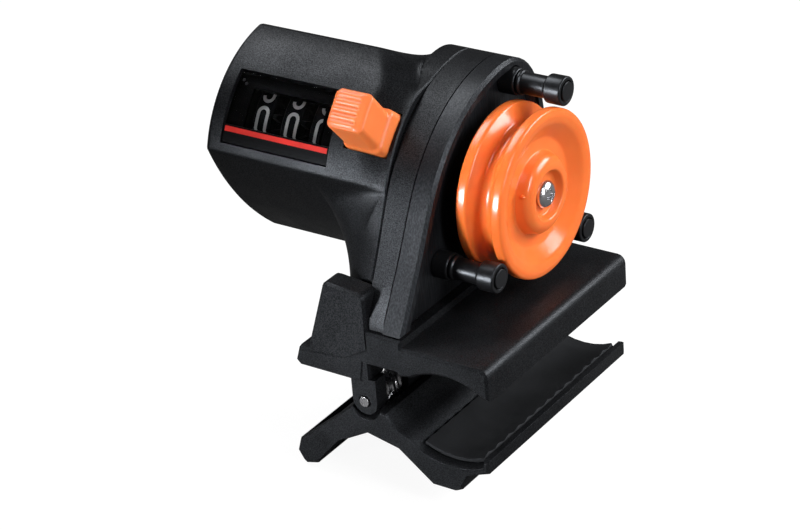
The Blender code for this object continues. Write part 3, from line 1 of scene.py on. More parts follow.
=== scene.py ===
"""Looks of the line counter: finishes, rounded visible pieces, numerals and the studio."""
import json
import math

import bmesh
import bpy
import numpy as np
from mathutils import Matrix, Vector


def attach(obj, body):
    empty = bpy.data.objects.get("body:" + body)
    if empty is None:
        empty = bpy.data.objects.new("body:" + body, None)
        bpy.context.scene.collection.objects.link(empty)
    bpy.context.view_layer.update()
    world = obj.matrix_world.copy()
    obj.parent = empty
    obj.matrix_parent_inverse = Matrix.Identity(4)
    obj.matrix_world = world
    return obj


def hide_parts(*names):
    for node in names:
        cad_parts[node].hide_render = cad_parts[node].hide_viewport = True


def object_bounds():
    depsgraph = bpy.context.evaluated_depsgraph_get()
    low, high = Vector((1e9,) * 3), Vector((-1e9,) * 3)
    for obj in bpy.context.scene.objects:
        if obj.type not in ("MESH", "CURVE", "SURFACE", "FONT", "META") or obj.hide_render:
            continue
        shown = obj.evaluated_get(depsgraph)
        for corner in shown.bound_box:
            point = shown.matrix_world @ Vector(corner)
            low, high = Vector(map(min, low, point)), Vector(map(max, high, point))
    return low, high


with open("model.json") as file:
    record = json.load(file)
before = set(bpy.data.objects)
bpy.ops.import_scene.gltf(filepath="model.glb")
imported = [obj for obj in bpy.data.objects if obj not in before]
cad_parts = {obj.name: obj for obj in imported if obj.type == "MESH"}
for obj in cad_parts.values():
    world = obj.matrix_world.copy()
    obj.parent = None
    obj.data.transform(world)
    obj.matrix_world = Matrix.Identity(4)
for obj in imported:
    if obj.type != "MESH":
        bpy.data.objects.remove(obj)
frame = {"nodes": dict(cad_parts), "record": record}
cad_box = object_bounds()
nodes = frame["nodes"]
MM = 0.001

# Studio. A pale table, a white surround and four soft lamps: a large one from the upper left over the
# barrel, a small low one on the near wall of the case, a tall one at the right that runs along the rims
# and the dish, and a wide one behind that draws the long edge of the base.

SENSOR_WIDTH = 36.0
FOCAL_LENGTH = 117.0
FAR_CLIP = 20.0
CAMERA_RIGHT = (0.8235, 0.5624, -0.0747)
CAMERA_UP = (-0.2113, 0.4263, 0.8796)
CAMERA_BACK = (0.5265, -0.7085, 0.4699)
CAMERA_PLACE = (0.2906, -0.4345, 0.3048)


def stood(right, above, back, place):
    """Placing matrix with the three directions and the place as its columns."""
    return Matrix([(right[row], above[row], back[row], place[row]) for row in range(3)] + [(0, 0, 0, 1)])


camera_data = bpy.data.cameras.new("camera")
camera_data.sensor_width = SENSOR_WIDTH
camera_data.lens = FOCAL_LENGTH
camera_data.clip_end = FAR_CLIP
camera = bpy.data.objects.new("camera", camera_data)
camera.matrix_world = stood(CAMERA_RIGHT, CAMERA_UP, CAMERA_BACK, CAMERA_PLACE)
bpy.context.scene.collection.objects.link(camera)
bpy.context.scene.camera = camera
bpy.context.scene.view_settings.view_transform = "Standard"

COUNTER_MIDDLE = (-0.020, 0.008, 0.030)


def soft_lamp(name, toward, distance, size, watts, aim=COUNTER_MIDDLE, spread=180.0):
    """Rectangular area lamp at a distance from its aim point along a direction; spread is its grid's angle."""
    away = np.array(toward) / np.linalg.norm(toward)
    side = np.cross((0.0, 0.0, 1.0), away)
    side /= np.linalg.norm(side)
    lamp = bpy.data.lights.new(name, "AREA")
    lamp.shape = "RECTANGLE"
    lamp.size, lamp.size_y = size
    lamp.energy = watts
    lamp.spread = math.radians(spread)
    item = bpy.data.objects.new(name, lamp)
    item.visible_camera = False
    item.matrix_world = stood(side, np.cross(away, side), away, np.array(aim) + away * distance)
    bpy.context.scene.collection.objects.link(item)


soft_lamp("lamp_top", toward=(-0.56, 0.09, 0.82), distance=0.75, size=(0.46, 0.34), watts=0.60,
          aim=(-0.066, 0.0, 0.050), spread=70.0)
soft_lamp("lamp_front", toward=(-0.46, -0.88, 0.06), distance=0.34, size=(0.08, 0.12), watts=0.042,
          aim=(-0.018, -0.024, 0.026), spread=15.0)
soft_lamp("lamp_right", toward=(0.88, -0.24, 0.45), distance=0.70, size=(0.14, 0.42), watts=3.0)
soft_lamp("lamp_behind", toward=(0.65, 0.62, 0.44), distance=0.80, size=(0.54, 0.30), watts=7.4)


def ranged(tree, source, start, end):
    """Value of a socket moved from one span (low, high) to another by a map range node."""
    node = tree.nodes.new("ShaderNodeMapRange")
    node.inputs["From Min"].default_value, node.inputs["From Max"].default_value = start
    node.inputs["To Min"].default_value, node.inputs["To Max"].default_value = end
    tree.links.new(source, node.inputs["Value"])
    return node.outputs["Result"]


WHITE = (1.0, 1.0, 1.0, 1.0)
AMBIENT = 0.09
world = bpy.data.worlds.new("surround")
bpy.context.scene.world = world
world.use_nodes = True
world_tree = world.node_tree
background = world_tree.nodes["Background"]
background.inputs["Color"].default_value = WHITE
world_path = world_tree.nodes.new("ShaderNodeLightPath")
world_level = ranged(world_tree, world_path.outputs["Is Camera Ray"], (0.0, 1.0), (AMBIENT, 1.0))
world_tree.links.new(world_level, background.inputs["Strength"])

TABLE_HALF = 3.0
TABLE_GAP = 0.5 * MM
PAPER_TONE = 0.12
PAPER_GLOW = 0.93
table_height = float(cad_box[0][2]) - TABLE_GAP
table_mesh = bpy.data.meshes.new("table")
table_mesh.from_pydata(
    [(-TABLE_HALF, -TABLE_HALF, table_height), (TABLE_HALF, -TABLE_HALF, table_height),
     (TABLE_HALF, TABLE_HALF, table_height), (-TABLE_HALF, TABLE_HALF, table_height)], [], [(0, 1, 2, 3)])
table = bpy.data.objects.new("table", table_mesh)
bpy.context.scene.collection.objects.link(table)
paper = bpy.data.materials.new("table_paper")
paper.use_nodes = True
paper_tree = paper.node_tree
paper_shader = paper_tree.nodes["Principled BSDF"]
paper_shader.inputs["Base Color"].default_value = (PAPER_TONE, PAPER_TONE, PAPER_TONE, 1.0)
paper_shader.inputs["Roughness"].default_value = 0.9
paper_shader.inputs["Specular IOR Level"].default_value = 0.1
paper_shader.inputs["Emission Color"].default_value = WHITE
paper_path = paper_tree.nodes.new("ShaderNodeLightPath")
paper_level = ranged(paper_tree, paper_path.outputs["Is Camera Ray"], (0.0, 1.0), (0.0, PAPER_GLOW))
paper_tree.links.new(paper_level, paper_shader.inputs["Emission Strength"])
table_mesh.materials.append(paper)

# Gear case with its base. One black moulding of glass-filled nylon: the middle ring of the housing, the
# plate with the saddle, the finger wing and the hinge lugs. Its fine spark-eroded grain catches the lamps.

CASE_EDGE = 0.40 * MM
body_of = {name: body for body, members in frame["record"]["behaviour"]["bodies"].items() for name in members}


def noise(tree, scale, detail, stretch=(1.0, 1.0, 1.0)):
    """Value of a noise on object coordinates, stretched by one scale for each axis."""
    place = tree.nodes.new("ShaderNodeTexCoord")
    stretched = tree.nodes.new("ShaderNodeMapping")
    stretched.inputs["Scale"].default_value = stretch
    made = tree.nodes.new("ShaderNodeTexNoise")
    made.inputs["Scale"].default_value = scale
    made.inputs["Detail"].default_value = detail
    tree.links.new(place.outputs["Object"], stretched.inputs["Vector"])
    tree.links.new(stretched.outputs["Vector"], made.inputs["Vector"])
    return made.outputs["Fac"]


def raised(tree, height, strength, distance):
    """Bump node that lifts the surface of the tree's shader by a value."""
    bump = tree.nodes.new("ShaderNodeBump")
    bump.inputs["Strength"].default_value = strength
    bump.inputs["Distance"].default_value = distance
    tree.links.new(height, bump.inputs["Height"])
    tree.links.new(bump.outputs["Normal"], tree.nodes["Principled BSDF"].inputs["Normal"])


COOL_SHEEN = (0.83, 0.90, 1.0, 1.0)
WIDE_SCALE = 120.0
WIDE_SPAN = (0.3, 0.7)
GRAIN_SPAN = (0.36, 0.64)
FLECK_SPAN = (0.56, 0.74)
ROUGHNESS_SWAY = 0.06


def moulded_plastic(name, colour, roughness, grain_size, grain_depth, patch=0.18, specular=0.3, fleck=0.35,
                    drag=(1.0, 1.0, 1.0), glint=0.0, depth_glow=0.0):
    """Moulded surface: fine noise for the mould's grain, wide noise for uneven sheen, lighter grain tops.

    Colour = base x (1 - patch .. 1 + patch) by wide noise, and lighter where the fine noise is highest;
    roughness follows the wide noise; the fine noise also raises the surface by up to grain_depth. drag
    stretches the fine noise into lines, by one scale for each axis. glint is how far the grain sways the
    strength of the reflection either way. depth_glow is the share of light that passes beneath the skin.
    """
    made = bpy.data.materials.new(name)
    made.use_nodes = True
    tree = made.node_tree
    shader = tree.nodes["Principled BSDF"]
    shader.inputs["Specular Tint"].default_value = COOL_SHEEN
    shader.inputs["Subsurface Weight"].default_value = depth_glow
    shader.inputs["Subsurface Scale"].default_value = 1.5 * MM
    grain = noise(tree, 1.0 / grain_size, 2.0, drag)
    wide = noise(tree, WIDE_SCALE, 5.0)
    sparkle = ranged(tree, grain, GRAIN_SPAN, (specular * (1 - glint), specular * (1 + glint)))
    tree.links.new(sparkle, shader.inputs["Specular IOR Level"])
    tone = tree.nodes.new("ShaderNodeValToRGB")
    for stop, place, strength in zip(tone.color_ramp.elements, WIDE_SPAN, (1 - patch, 1 + patch)):
        stop.position = place
        stop.color = (*[part * strength for part in colour], 1.0)
    tree.links.new(wide, tone.inputs["Fac"])
    mix = tree.nodes.new("ShaderNodeMix")
    mix.data_type = "RGBA"
    mix.inputs["B"].default_value = (*[min(1.0, part * 1.6 + 0.012) for part in colour], 1.0)
    tree.links.new(ranged(tree, grain, FLECK_SPAN, (0.0, fleck)), mix.inputs["Factor"])
    tree.links.new(tone.outputs["Color"], mix.inputs["A"])
    tree.links.new(mix.outputs["Result"], shader.inputs["Base Color"])
    rough = ranged(tree, wide, WIDE_SPAN, (roughness - ROUGHNESS_SWAY, roughness + ROUGHNESS_SWAY))
    tree.links.new(rough, shader.inputs["Roughness"])
    raised(tree, grain, 1.0, grain_depth)
    return made


def eased(item, width, steps=2, sharp=30.0):
    """Bevel on the edges that are sharper than an angle."""
    edge = item.modifiers.new("eased_edges", "BEVEL")
    edge.width = width
    edge.segments = steps
    edge.limit_method = "ANGLE"
    edge.angle_limit = math.radians(sharp)
    edge.harden_normals = True


MERGE_DISTANCE = 0.002 * MM
FLAT_ANGLE = 0.8
SHARP_ANGLE = 32.0


def softened(node, width=0.0, steps=2, sharp=SHARP_ANGLE):
    """Copy of a CAD solid with its loose triangles merged, round faces smoothed and edges eased."""
    body = bmesh.new()
    body.from_mesh(nodes[node].data)
    bmesh.ops.remove_doubles(body, verts=body.verts, dist=MERGE_DISTANCE)
    bmesh.ops.dissolve_limit(body, angle_limit=math.radians(FLAT_ANGLE), verts=body.verts, edges=body.edges)
    body.verts.index_update()
    faces = [[vert.index for vert in face.verts] for face in body.faces]
    mesh = bpy.data.meshes.new(f"{node}_eased")
    mesh.from_pydata([tuple(vert.co) for vert in body.verts], [], faces)
    body.free()
    mesh.shade_smooth()
    mesh.set_sharp_from_angle(angle=math.radians(sharp))
    item = bpy.data.objects.new(f"{node}_eased", mesh)
    bpy.context.scene.collection.objects.link(item)
    if width:
        eased(item, width, steps, sharp)
    return item


def stand_for(piece, node, material):
    """The piece takes the CAD solid's place, with its body, in its own finish."""
    piece.data.materials.clear()
    piece.data.materials.append(material)
    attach(piece, body_of[node])
    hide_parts(node)


def dress(material, *names):
    """Gives carried-over solids their finish."""
    for name in names:
        for place in nodes[name].material_slots:
            place.material = material


grained_black = moulded_plastic("grained_black", (0.0046, 0.0048, 0.0055), 0.46, 0.25 * MM, 0.045 * MM,
                                specular=0.26, glint=0.6)
stand_for(softened("gear_case", CASE_EDGE), "gear_case", grained_black)

# Barrel. The same grained moulding as the case, a cup with a wider viewing hood and a flared neck that
# meets the case at a leaning seam: hollow over the top and behind, straighter by the button, and a round
# shoulder on the wing's side. Its black is a darker copy of the case's, which is painted shade for the
# shade over the barrel. OUTER_RUNS holds spans along X with their ring counts, SHOULDER_STARTS pairs
# angles with places in millimetres, and each NEAR row is an angle, a half angle and a gain.

BARREL = np.array((13.8, 37.3)) * MM
HOOD_RADIUS = 31.0 * MM
BODY_RADIUS = 23.0 * MM
CHEEK_RADIUS = 72.0 * MM
HOOD_ANGLES = (99.7, 164.7)
BODY_ANGLES = (247.5, 376.9)
BARREL_MOUTH = -21.8 * MM
BARREL_FAR = -74.5 * MM
BARREL_WALL = 2.0 * MM
END_ROUND = 1.6 * MM
END_RINGS = 6
MOUTH_ROUND = 0.35 * MM
OUTER_RUNS = ((-71.0 * MM, -44.6 * MM, 4), (-44.3 * MM, -28.5 * MM, 60),
              (-28.2 * MM, BARREL_MOUTH - MOUTH_ROUND, 20))
BORE_RINGS = 50
NECK_LENGTH = 20.5 * MM
NECK_FULL = 6.5 * MM
NECK_LATE = 6.2 * MM
NECK_LATE_START = 10.5 * MM
LEDGE_SHARE = 0.4
SHOULDER_POWER = 1.3
SHOULDER_STARTS = ((170, 190, 206, 240), (-43.5, -42.0, -38.0, -38.0))
BUTTON_ANGLE = 140.6
NEAR_BUTTON = (BUTTON_ANGLE, 52.0, 1.5)
NEAR_WING = (212.0, 50.0, 2.2)
NEAR_LEDGE = (150.0, 50.0, 2.0)
SEAM_LEAN = 2.3 * MM
FOOT_HEIGHT = 17.4 * MM
COVER_HEIGHT = 47.8 * MM
JAW_LENGTH = 61.4 * MM
COVER_NEAR = -30.2 * MM
COVER_SHARES = np.array((
    (0.000, 0.000), (0.065, 0.144), (0.150, 0.330), (0.254, 0.584), (0.334, 0.722), (0.428, 0.835),
    (0.542, 0.925), (0.680, 0.985), (0.826, 1.000), (0.932, 0.940), (1.005, 0.818), (1.042, 0.650),
    (1.040, 0.410), (1.014, 0.180), (0.992, 0.000)))
RAY_COUNT = 360
ARC_STEPS = 120
CHEEK_STEPS = 40
KNOT_STEPS = 16
FLOOR_STEPS = 200
CUTTER_STEPS = 40


def directions(angles):
    """Unit vectors (cosine, sine) for angles in degrees."""
    turn = np.radians(angles)
    return np.stack((np.cos(turn), np.sin(turn)), -1)


def case_curve(steps):
    """Side outline of the case as a Catmull-Rom curve through its measured points, (y, z)."""
    knots = (COVER_NEAR, FOOT_HEIGHT) + COVER_SHARES * (JAW_LENGTH, COVER_HEIGHT)
    padded = np.vstack((2 * knots[0] - knots[1], knots, 2 * knots[-1] - knots[-2]))
    a, b, c, d = padded[:-3, None], padded[1:-2, None], padded[2:-1, None], padded[3:, None]
    t = np.linspace(0, 1, steps, endpoint=False)[None, :, None]
    curve = 0.5 * (2 * b + (c - a) * t + (2 * a - 5 * b + 4 * c - d) * t ** 2 + (3 * b - a - 3 * c + d) * t ** 3)
    return np.vstack((curve.reshape(-1, 2), knots[-1:]))


def reach_along(outline, angles):
    """Distance from the barrel's centre to a closed outline along each angle, read off in polar form."""
    gap = outline - BARREL
    turn = np.degrees(np.arctan2(gap[:, 1], gap[:, 0])) % 360
    order = np.argsort(turn)
    return np.interp(angles, turn[order], np.linalg.norm(gap, axis=1)[order], period=360)


def cheek(start, end):
    """Shallow arc between two points: a parabola whose bulge is that of a circle of the cheek's radius."""
    half = np.linalg.norm(end - start) / 2
    ahead = (end - start) / (2 * half)
    bulge = CHEEK_RADIUS - math.sqrt(CHEEK_RADIUS ** 2 - half ** 2)
    share = np.linspace(-1, 1, CHEEK_STEPS)[1:-1, None]
    outward = np.array((ahead[1], -ahead[0]))
    return (start + end) / 2 + ahead * half * share + outward * bulge * (1 - share ** 2)


hood_arc = BARREL + HOOD_RADIUS * directions(np.linspace(*HOOD_ANGLES, ARC_STEPS))
body_arc = BARREL + BODY_RADIUS * directions(np.linspace(*BODY_ANGLES, ARC_STEPS))
near_cheek = cheek(hood_arc[-1], body_arc[0])
far_cheek = cheek(body_arc[-1], hood_arc[0])
barrel_curve = np.vstack((hood_arc, near_cheek, body_arc, far_cheek))
seam_curve = case_curve(KNOT_STEPS)
seam_floor = np.linspace(seam_curve[-1], seam_curve[0], FLOOR_STEPS)
ray_angles = np.linspace(0, 360, RAY_COUNT, endpoint=False)
barrel_reach = reach_along(barrel_curve, ray_angles)
seam_reach = reach_along(np.vstack((seam_curve, seam_floor)), ray_angles)


def smoothstep(share):
    """Cubic that eases a share between nought and one at both ends."""
    return share ** 2 * (3 - 2 * share)


def near(angle, half, gain):
    """Share for each ray: one round an angle, falling smoothly to nought at a half angle to either side.

    The greater the gain, the wider the part that stays at one.
    """
    return smoothstep(np.clip((1 - np.abs(ray_angles - angle) / half) * gain, 0, 1))


near_button = near(*NEAR_BUTTON)
near_wing = near(*NEAR_WING)
neck_start = BARREL_MOUTH - NECK_LENGTH + NECK_LATE_START * near_button
neck_full = BARREL_MOUTH - NECK_FULL + NECK_LATE * near_button
shoulder_start = np.interp(ray_angles, *SHOULDER_STARTS) * MM
ledge = LEDGE_SHARE * near(*NEAR_LEDGE) * np.maximum(barrel_reach - seam_reach, 0)
mouth_reach = seam_reach + ledge


def neck_reach(place):
    """Reach of the neck at a place along X for each ray.

    Over the top and behind it is a hollow quarter circle, beside the button a smoothstep, and on the wing's
    side a round shoulder, a superellipse that ends flush with the case.
    """
    run = np.clip((place - neck_start) / (neck_full - neck_start), 0, 1)
    past = np.clip((place - shoulder_start) / (BARREL_MOUTH - shoulder_start), 0, 1)
    hollow = 1 - np.sqrt(1 - run ** 2)
    straighter = smoothstep(run)
    shoulder = (1 - (1 - past) ** SHOULDER_POWER) ** (1 / SHOULDER_POWER)
    share = (hollow + (straighter - hollow) * near_button) * (1 - near_wing) + shoulder * near_wing
    return barrel_reach + (mouth_reach - barrel_reach) * share


def barrel_ring(place, reach):
    """Ring of points at a place along X, leaning back with height as the neck nears its seam."""
    flat = BARREL + reach[:, None] * directions(ray_angles)
    share = np.clip((place - BARREL_MOUTH + NECK_LENGTH) / NECK_LENGTH, 0, 1)
    lean = SEAM_LEAN * np.maximum(flat[:, 1] - FOOT_HEIGHT, 0) / COVER_HEIGHT
    return np.column_stack((place - lean * share, flat))


WELD_DISTANCE = 0.0005 * MM


def grid_mesh(name, points, close_rows=False, close_columns=False, cap_rows=False):
    """Mesh over a grid of points (rows, columns, 3): one quad for each cell, with optional closing and caps."""
    rows, columns = points.shape[:2]
    index = np.arange(rows * columns).reshape(rows, columns)
    if close_rows:
        index = np.vstack((index, index[:1]))
    if close_columns:
        index = np.hstack((index, index[:, :1]))
    quads = np.stack((index[:-1, :-1], index[:-1, 1:], index[1:, 1:], index[1:, :-1]), -1).reshape(-1, 4)
    faces = quads.tolist()
    if cap_rows:
        faces += [index[0, :columns][::-1].tolist(), index[-1, :columns].tolist()]
    mesh = bpy.data.meshes.new(name)
    mesh.from_pydata(points.reshape(-1, 3).tolist(), [], faces)
    body = bmesh.new()
    body.from_mesh(mesh)
    bmesh.ops.remove_doubles(body, verts=body.verts, dist=WELD_DISTANCE)
    bmesh.ops.recalc_face_normals(body, faces=body.faces)
    body.to_mesh(mesh)
    body.free()
    item = bpy.data.objects.new(name, mesh)
    bpy.context.scene.collection.objects.link(item)
    return item


def smooth(piece, sharp=SHARP_ANGLE):
    """Smooth shading with hard lines where faces meet at more than an angle."""
    piece.data.shade_smooth()
    piece.data.set_sharp_from_angle(angle=math.radians(sharp))
    return piece


def carved(piece, cutters):
    """The piece with the cutters taken out of it, as one finished mesh."""
    for cutter in cutters:
        cut = piece.modifiers.new(cutter.name, "BOOLEAN")
        cut.operation = "DIFFERENCE"
        cut.solver = "EXACT"
        cut.object = cutter
    bpy.context.view_layer.update()
    finished = bpy.data.meshes.new_from_object(piece.evaluated_get(bpy.context.evaluated_depsgraph_get()))
    piece.modifiers.clear()
    piece.data = finished
    for cutter in cutters:
        bpy.data.objects.remove(cutter, do_unlink=True)
    return piece


outer = []
for share in np.linspace(0, 1, END_RINGS):
    drop = END_ROUND * (1 - math.sqrt(1 - (1 - share) ** 2))
    outer.append(barrel_ring(BARREL_FAR + END_ROUND * share, barrel_reach - drop))
for start, end, count in OUTER_RUNS:
    outer += [barrel_ring(place, neck_reach(place)) for place in np.linspace(start, end, count)]
outer.append(barrel_ring(BARREL_MOUTH, neck_reach(BARREL_MOUTH) - MOUTH_ROUND))
inner = []
for place in np.linspace(BARREL_MOUTH, BARREL_FAR + BARREL_WALL + END_ROUND, BORE_RINGS):
    bore = np.minimum(neck_reach(place - BARREL_WALL), neck_reach(place)) - BARREL_WALL
    inner.append(barrel_ring(place, bore))
inner.append(barrel_ring(BARREL_FAR + BARREL_WALL, barrel_reach - 2 * BARREL_WALL))
# Painted shade: the barrel's black is a darker copy of the case's grained black, for the shade over the barrel.
barrel_painted_shade_black = moulded_plastic("barrel_painted_shade_black", (0.0036, 0.0038, 0.0044), 0.42, 0.25 * MM, 0.045 * MM,
                               specular=0.24, glint=0.6)
shell = grid_mesh("barrel_shell", np.array(outer + inner), close_columns=True, cap_rows=True)


def hood_cutter(name, left, right, low, high, start, end):
    """Block between two radii and two angles round the barrel, pushed along X."""
    sweep = directions(np.linspace(start, end, CUTTER_STEPS))
    section = np.vstack((BARREL + high * sweep, BARREL + low * sweep[::-1]))
    ends = [np.column_stack((np.full(len(section), place), section)) for place in (left, right)]
    return grid_mesh(name, np.array(ends), close_columns=True, cap_rows=True)


WINDOW_LEFT = -70.0 * MM
WINDOW_RIGHT = -39.4 * MM
WINDOW_ANGLES = (126.5, 160.5)
window_cutter = hood_cutter("window_cutter", WINDOW_LEFT, WINDOW_RIGHT, HOOD_RADIUS - 2 * BARREL_WALL,
                            HOOD_RADIUS + BARREL_WALL, *WINDOW_ANGLES)
BUTTON_MIDDLE = -30.2 * MM
SLOT_HALF = 5.5 * MM
button_out = directions(BUTTON_ANGLE)
button_along = np.array((button_out[1], -button_out[0]))


def on_button(x, along, height):
    """Points from places along X, along the hood and out from the barrel's centre."""
    flat = BARREL + np.asarray(along)[..., None] * button_along + np.asarray(height)[..., None] * button_out
    return np.concatenate((np.asarray(x)[..., None], flat), -1)


slot_side = np.array((-SLOT_HALF, SLOT_HALF, SLOT_HALF, -SLOT_HALF))
slot_run = np.array((-SLOT_HALF, -SLOT_HALF, SLOT_HALF, SLOT_HALF))
slot_cutter = grid_mesh("slot_cutter", np.array([
    on_button(BUTTON_MIDDLE + slot_side, slot_run, np.full(4, height))
    for height in (HOOD_RADIUS - 4 * BARREL_WALL, HOOD_RADIUS + BARREL_WALL)]), close_columns=True, cap_rows=True)
NOTCH = np.array(((-20.5, 3.0), (-38.6, 3.0), (-38.3, 9.0), (-32.4, 27.5), (-20.5, 27.0))) * MM
NOTCH_SIDES = (-30.7 * MM, -23.9 * MM)
notch_cutter = grid_mesh("notch_cutter", np.array([
    np.column_stack((NOTCH[:, 0], np.full(len(NOTCH), place), NOTCH[:, 1]))
    for place in NOTCH_SIDES]), close_columns=True, cap_rows=True)
carved(shell, [window_cutter, slot_cutter, notch_cutter])
stand_for(smooth(shell), "barrel_housing", barrel_painted_shade_black)

# Lens and index strip. The lens is clear cast acrylic, glued in the opening; under it sits a gloss black
# strip with a red line printed across its top, which the lowest row of numerals is read against. A black
# frame with two moulded pips at its left closes the view round the drums.

LENS_SINK = 0.7 * MM
LENS_THICKNESS = 1.5 * MM
LENS_EDGE = 0.25 * MM
LENS_BEND = 1.12
SMEAR_SCALE = 260.0
SMEAR_SPAN = (0.45, 0.75)
SMEAR_ROUGHNESS = 0.05
WINDOW_GAP = 0.3 * MM
INDEX_ANGLE = 152.0
slack = math.degrees(WINDOW_GAP / HOOD_RADIUS)
lens = hood_cutter("lens_pane", WINDOW_LEFT + WINDOW_GAP, WINDOW_RIGHT - WINDOW_GAP,
                   HOOD_RADIUS - LENS_SINK - LENS_THICKNESS, HOOD_RADIUS - LENS_SINK,
                   WINDOW_ANGLES[0] + slack, INDEX_ANGLE - slack)
clear = bpy.data.materials.new("clear_acrylic")
clear.use_nodes = True
clear_tree = clear.node_tree
clear_shader = clear_tree.nodes["Principled BSDF"]
clear_shader.inputs["Base Color"].default_value = (0.96, 0.97, 1.0, 1.0)
clear_shader.inputs["Transmission Weight"].default_value = 1.0
clear_shader.inputs["IOR"].default_value = LENS_BEND
smear = ranged(clear_tree, noise(clear_tree, SMEAR_SCALE, 6.0), SMEAR_SPAN, (0.0, SMEAR_ROUGHNESS))
clear_tree.links.new(smear, clear_shader.inputs["Roughness"])
eased(lens, LENS_EDGE)
stand_for(smooth(lens), "window_lens", clear)

deep_black = moulded_plastic("deep_black", (0.0035, 0.0035, 0.0038), 0.38, 0.3 * MM, 0.004 * MM, specular=0.03,
                             fleck=0.05)
strip = hood_cutter("index_plate", WINDOW_LEFT + WINDOW_GAP, WINDOW_RIGHT - WINDOW_GAP,
                    HOOD_RADIUS - LENS_SINK - LENS_THICKNESS, HOOD_RADIUS - LENS_SINK / 2,
                    INDEX_ANGLE, WINDOW_ANGLES[1] - slack)
stand_for(smooth(strip), "index_strip", deep_black)

MASK_RADII = (27.7 * MM, 28.6 * MM)
MASK_OVERHANG = 1.2 * MM
MASK_ANGLES = (124.0, 163.0)
MASK_EDGE = 0.15 * MM
OPENING_LEFT = -65.7 * MM
OPENING_RIGHT = -43.3 * MM
OPENING_EXTRA = 1.0 * MM
OPENING_ANGLES = (133.2, 165.0)
mask = hood_cutter("window_mask", WINDOW_LEFT - MASK_OVERHANG, WINDOW_RIGHT + MASK_OVERHANG, *MASK_RADII,
                   *MASK_ANGLES)
opening = hood_cutter("mask_opening", OPENING_LEFT, OPENING_RIGHT, MASK_RADII[0] - OPENING_EXTRA,
                      MASK_RADII[1] + OPENING_EXTRA, *OPENING_ANGLES)
carved(mask, [opening])
smooth(mask).data.materials.append(deep_black)
eased(mask, MASK_EDGE)
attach(mask, "housing")

PIP_LAST_ANGLE = 80.0


def domed_pip(name, foot, axes, radius, rise, rings, steps):
    """Small dome over a foot point: the first axis points out of the surface, the other two lie in it."""
    out, side, along = np.array(axes)
    cap = directions(np.linspace(0, PIP_LAST_ANGLE, rings))[..., None, None]
    spin = directions(np.linspace(0, 360, steps, endpoint=False))
    circle = spin[:, :1] * side + spin[:, 1:] * along
    points = np.array(foot) + rise * cap[:, 1] * out + radius * cap[:, 0] * circle
    return smooth(grid_mesh(name, points, close_columns=True, cap_rows=True))


WINDOW_PIPS = (("window_pip_left", -69.4 * MM, 130.0), ("window_pip_right", -68.3 * MM, 131.6))
WINDOW_PIP_RADIUS = 0.42 * MM
WINDOW_PIP_RISE = 0.35 * MM
WINDOW_PIP_SINK = 0.1 * MM
pip_grey = moulded_plastic("pip_grey", (0.05, 0.05, 0.055), 0.35, 0.2 * MM, 0.004 * MM)
for name, place, angle in WINDOW_PIPS:
    out = directions(angle)
    foot = (place, *(BARREL + (MASK_RADII[1] - WINDOW_PIP_SINK) * out))
    axes = ((0.0, *out), (1.0, 0.0, 0.0), (0.0, out[1], -out[0]))
    pip = domed_pip(name, foot, axes, WINDOW_PIP_RADIUS, WINDOW_PIP_RISE, rings=8, steps=24)
    pip.data.materials.append(pip_grey)
    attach(pip, "housing")

PRINT_RISE = 0.03 * MM
LINE_ANGLES = (INDEX_ANGLE + 0.7, INDEX_ANGLE + 3.0)
LINE_STEPS = 6
LINE_RINGS = 30
line_sweep = directions(np.linspace(*LINE_ANGLES, LINE_STEPS))
line_places = np.linspace(WINDOW_LEFT + 2 * WINDOW_GAP, WINDOW_RIGHT - 2 * WINDOW_GAP, LINE_RINGS)
line_foot, line_top = [HOOD_RADIUS - LENS_SINK / 2 + rise for rise in (-PRINT_RISE, PRINT_RISE)]
line_section = np.vstack((BARREL + line_top * line_sweep, BARREL + line_foot * line_sweep[::-1]))
red_line = grid_mesh("index_line", np.array([
    np.column_stack((np.full(len(line_section), place), line_section)) for place in line_places]),
    close_columns=True, cap_rows=True)
red_paint = moulded_plastic("red_print", (0.62, 0.024, 0.016), 0.45, 0.25 * MM, 0.006 * MM, patch=0.25,
                            specular=0.12, fleck=0.2)
smooth(red_line).data.materials.append(red_paint)
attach(red_line, "housing")

# Number wheels. Three black acetal drums on one steel shaft, each with ten white numerals printed round
# it, 36 degrees apart, and behind each a transfer pinion that carries every tenth part on. A thin strip
# of the housing stands between the last drum and the white drive wheel beside it.

WHEELS = np.array((6.213, 43.017)) * MM
WHEEL_RADIUS = 15.987 * MM
SHADE_X = (-44.25 * MM, -43.85 * MM)
SHADE_REACH = 16.6 * MM
SHADE_ANGLES = (122.0, 164.0)
SHADE_STEPS = 30
shade_out = directions(np.linspace(*SHADE_ANGLES, SHADE_STEPS))
ahead = shade_out @ (BARREL - WHEELS)
shade_foot = np.sqrt(ahead ** 2 - ((BARREL - WHEELS) ** 2).sum() + SHADE_REACH ** 2) - ahead
shade_rows = []
for out, foot in zip(shade_out, shade_foot):
    corners = ((SHADE_X[0], foot), (SHADE_X[1], foot), (SHADE_X[1], MASK_RADII[1]), (SHADE_X[0], MASK_RADII[1]))
    shade_rows.append([(x, *(BARREL + reach * out)) for x, reach in corners])
shade = grid_mesh("window_shade", np.array(shade_rows), close_columns=True, cap_rows=True)
shade.data.materials.append(deep_black)
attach(shade, "housing")

NUMERAL_MIDDLES = {"hundreds_wheel": -63.2 * MM, "tens_wheel": -54.55 * MM, "units_wheel": -46.15 * MM}
NUMERAL_HALF_WIDTH = 1.30 * MM
NUMERAL_HALF_HEIGHT = 4.20 * MM
NUMERAL_TURN = 153.0
DIGIT_TURN = 36.0
STROKE = 0.85 * MM
STROKE_STEP = 0.25 * MM


def bend(centre, wide, high, start, end, count=14):
    """Points on part of an ellipse, angles in degrees."""
    return np.array(centre) + np.array((wide, high)) * directions(np.linspace(start, end, count))


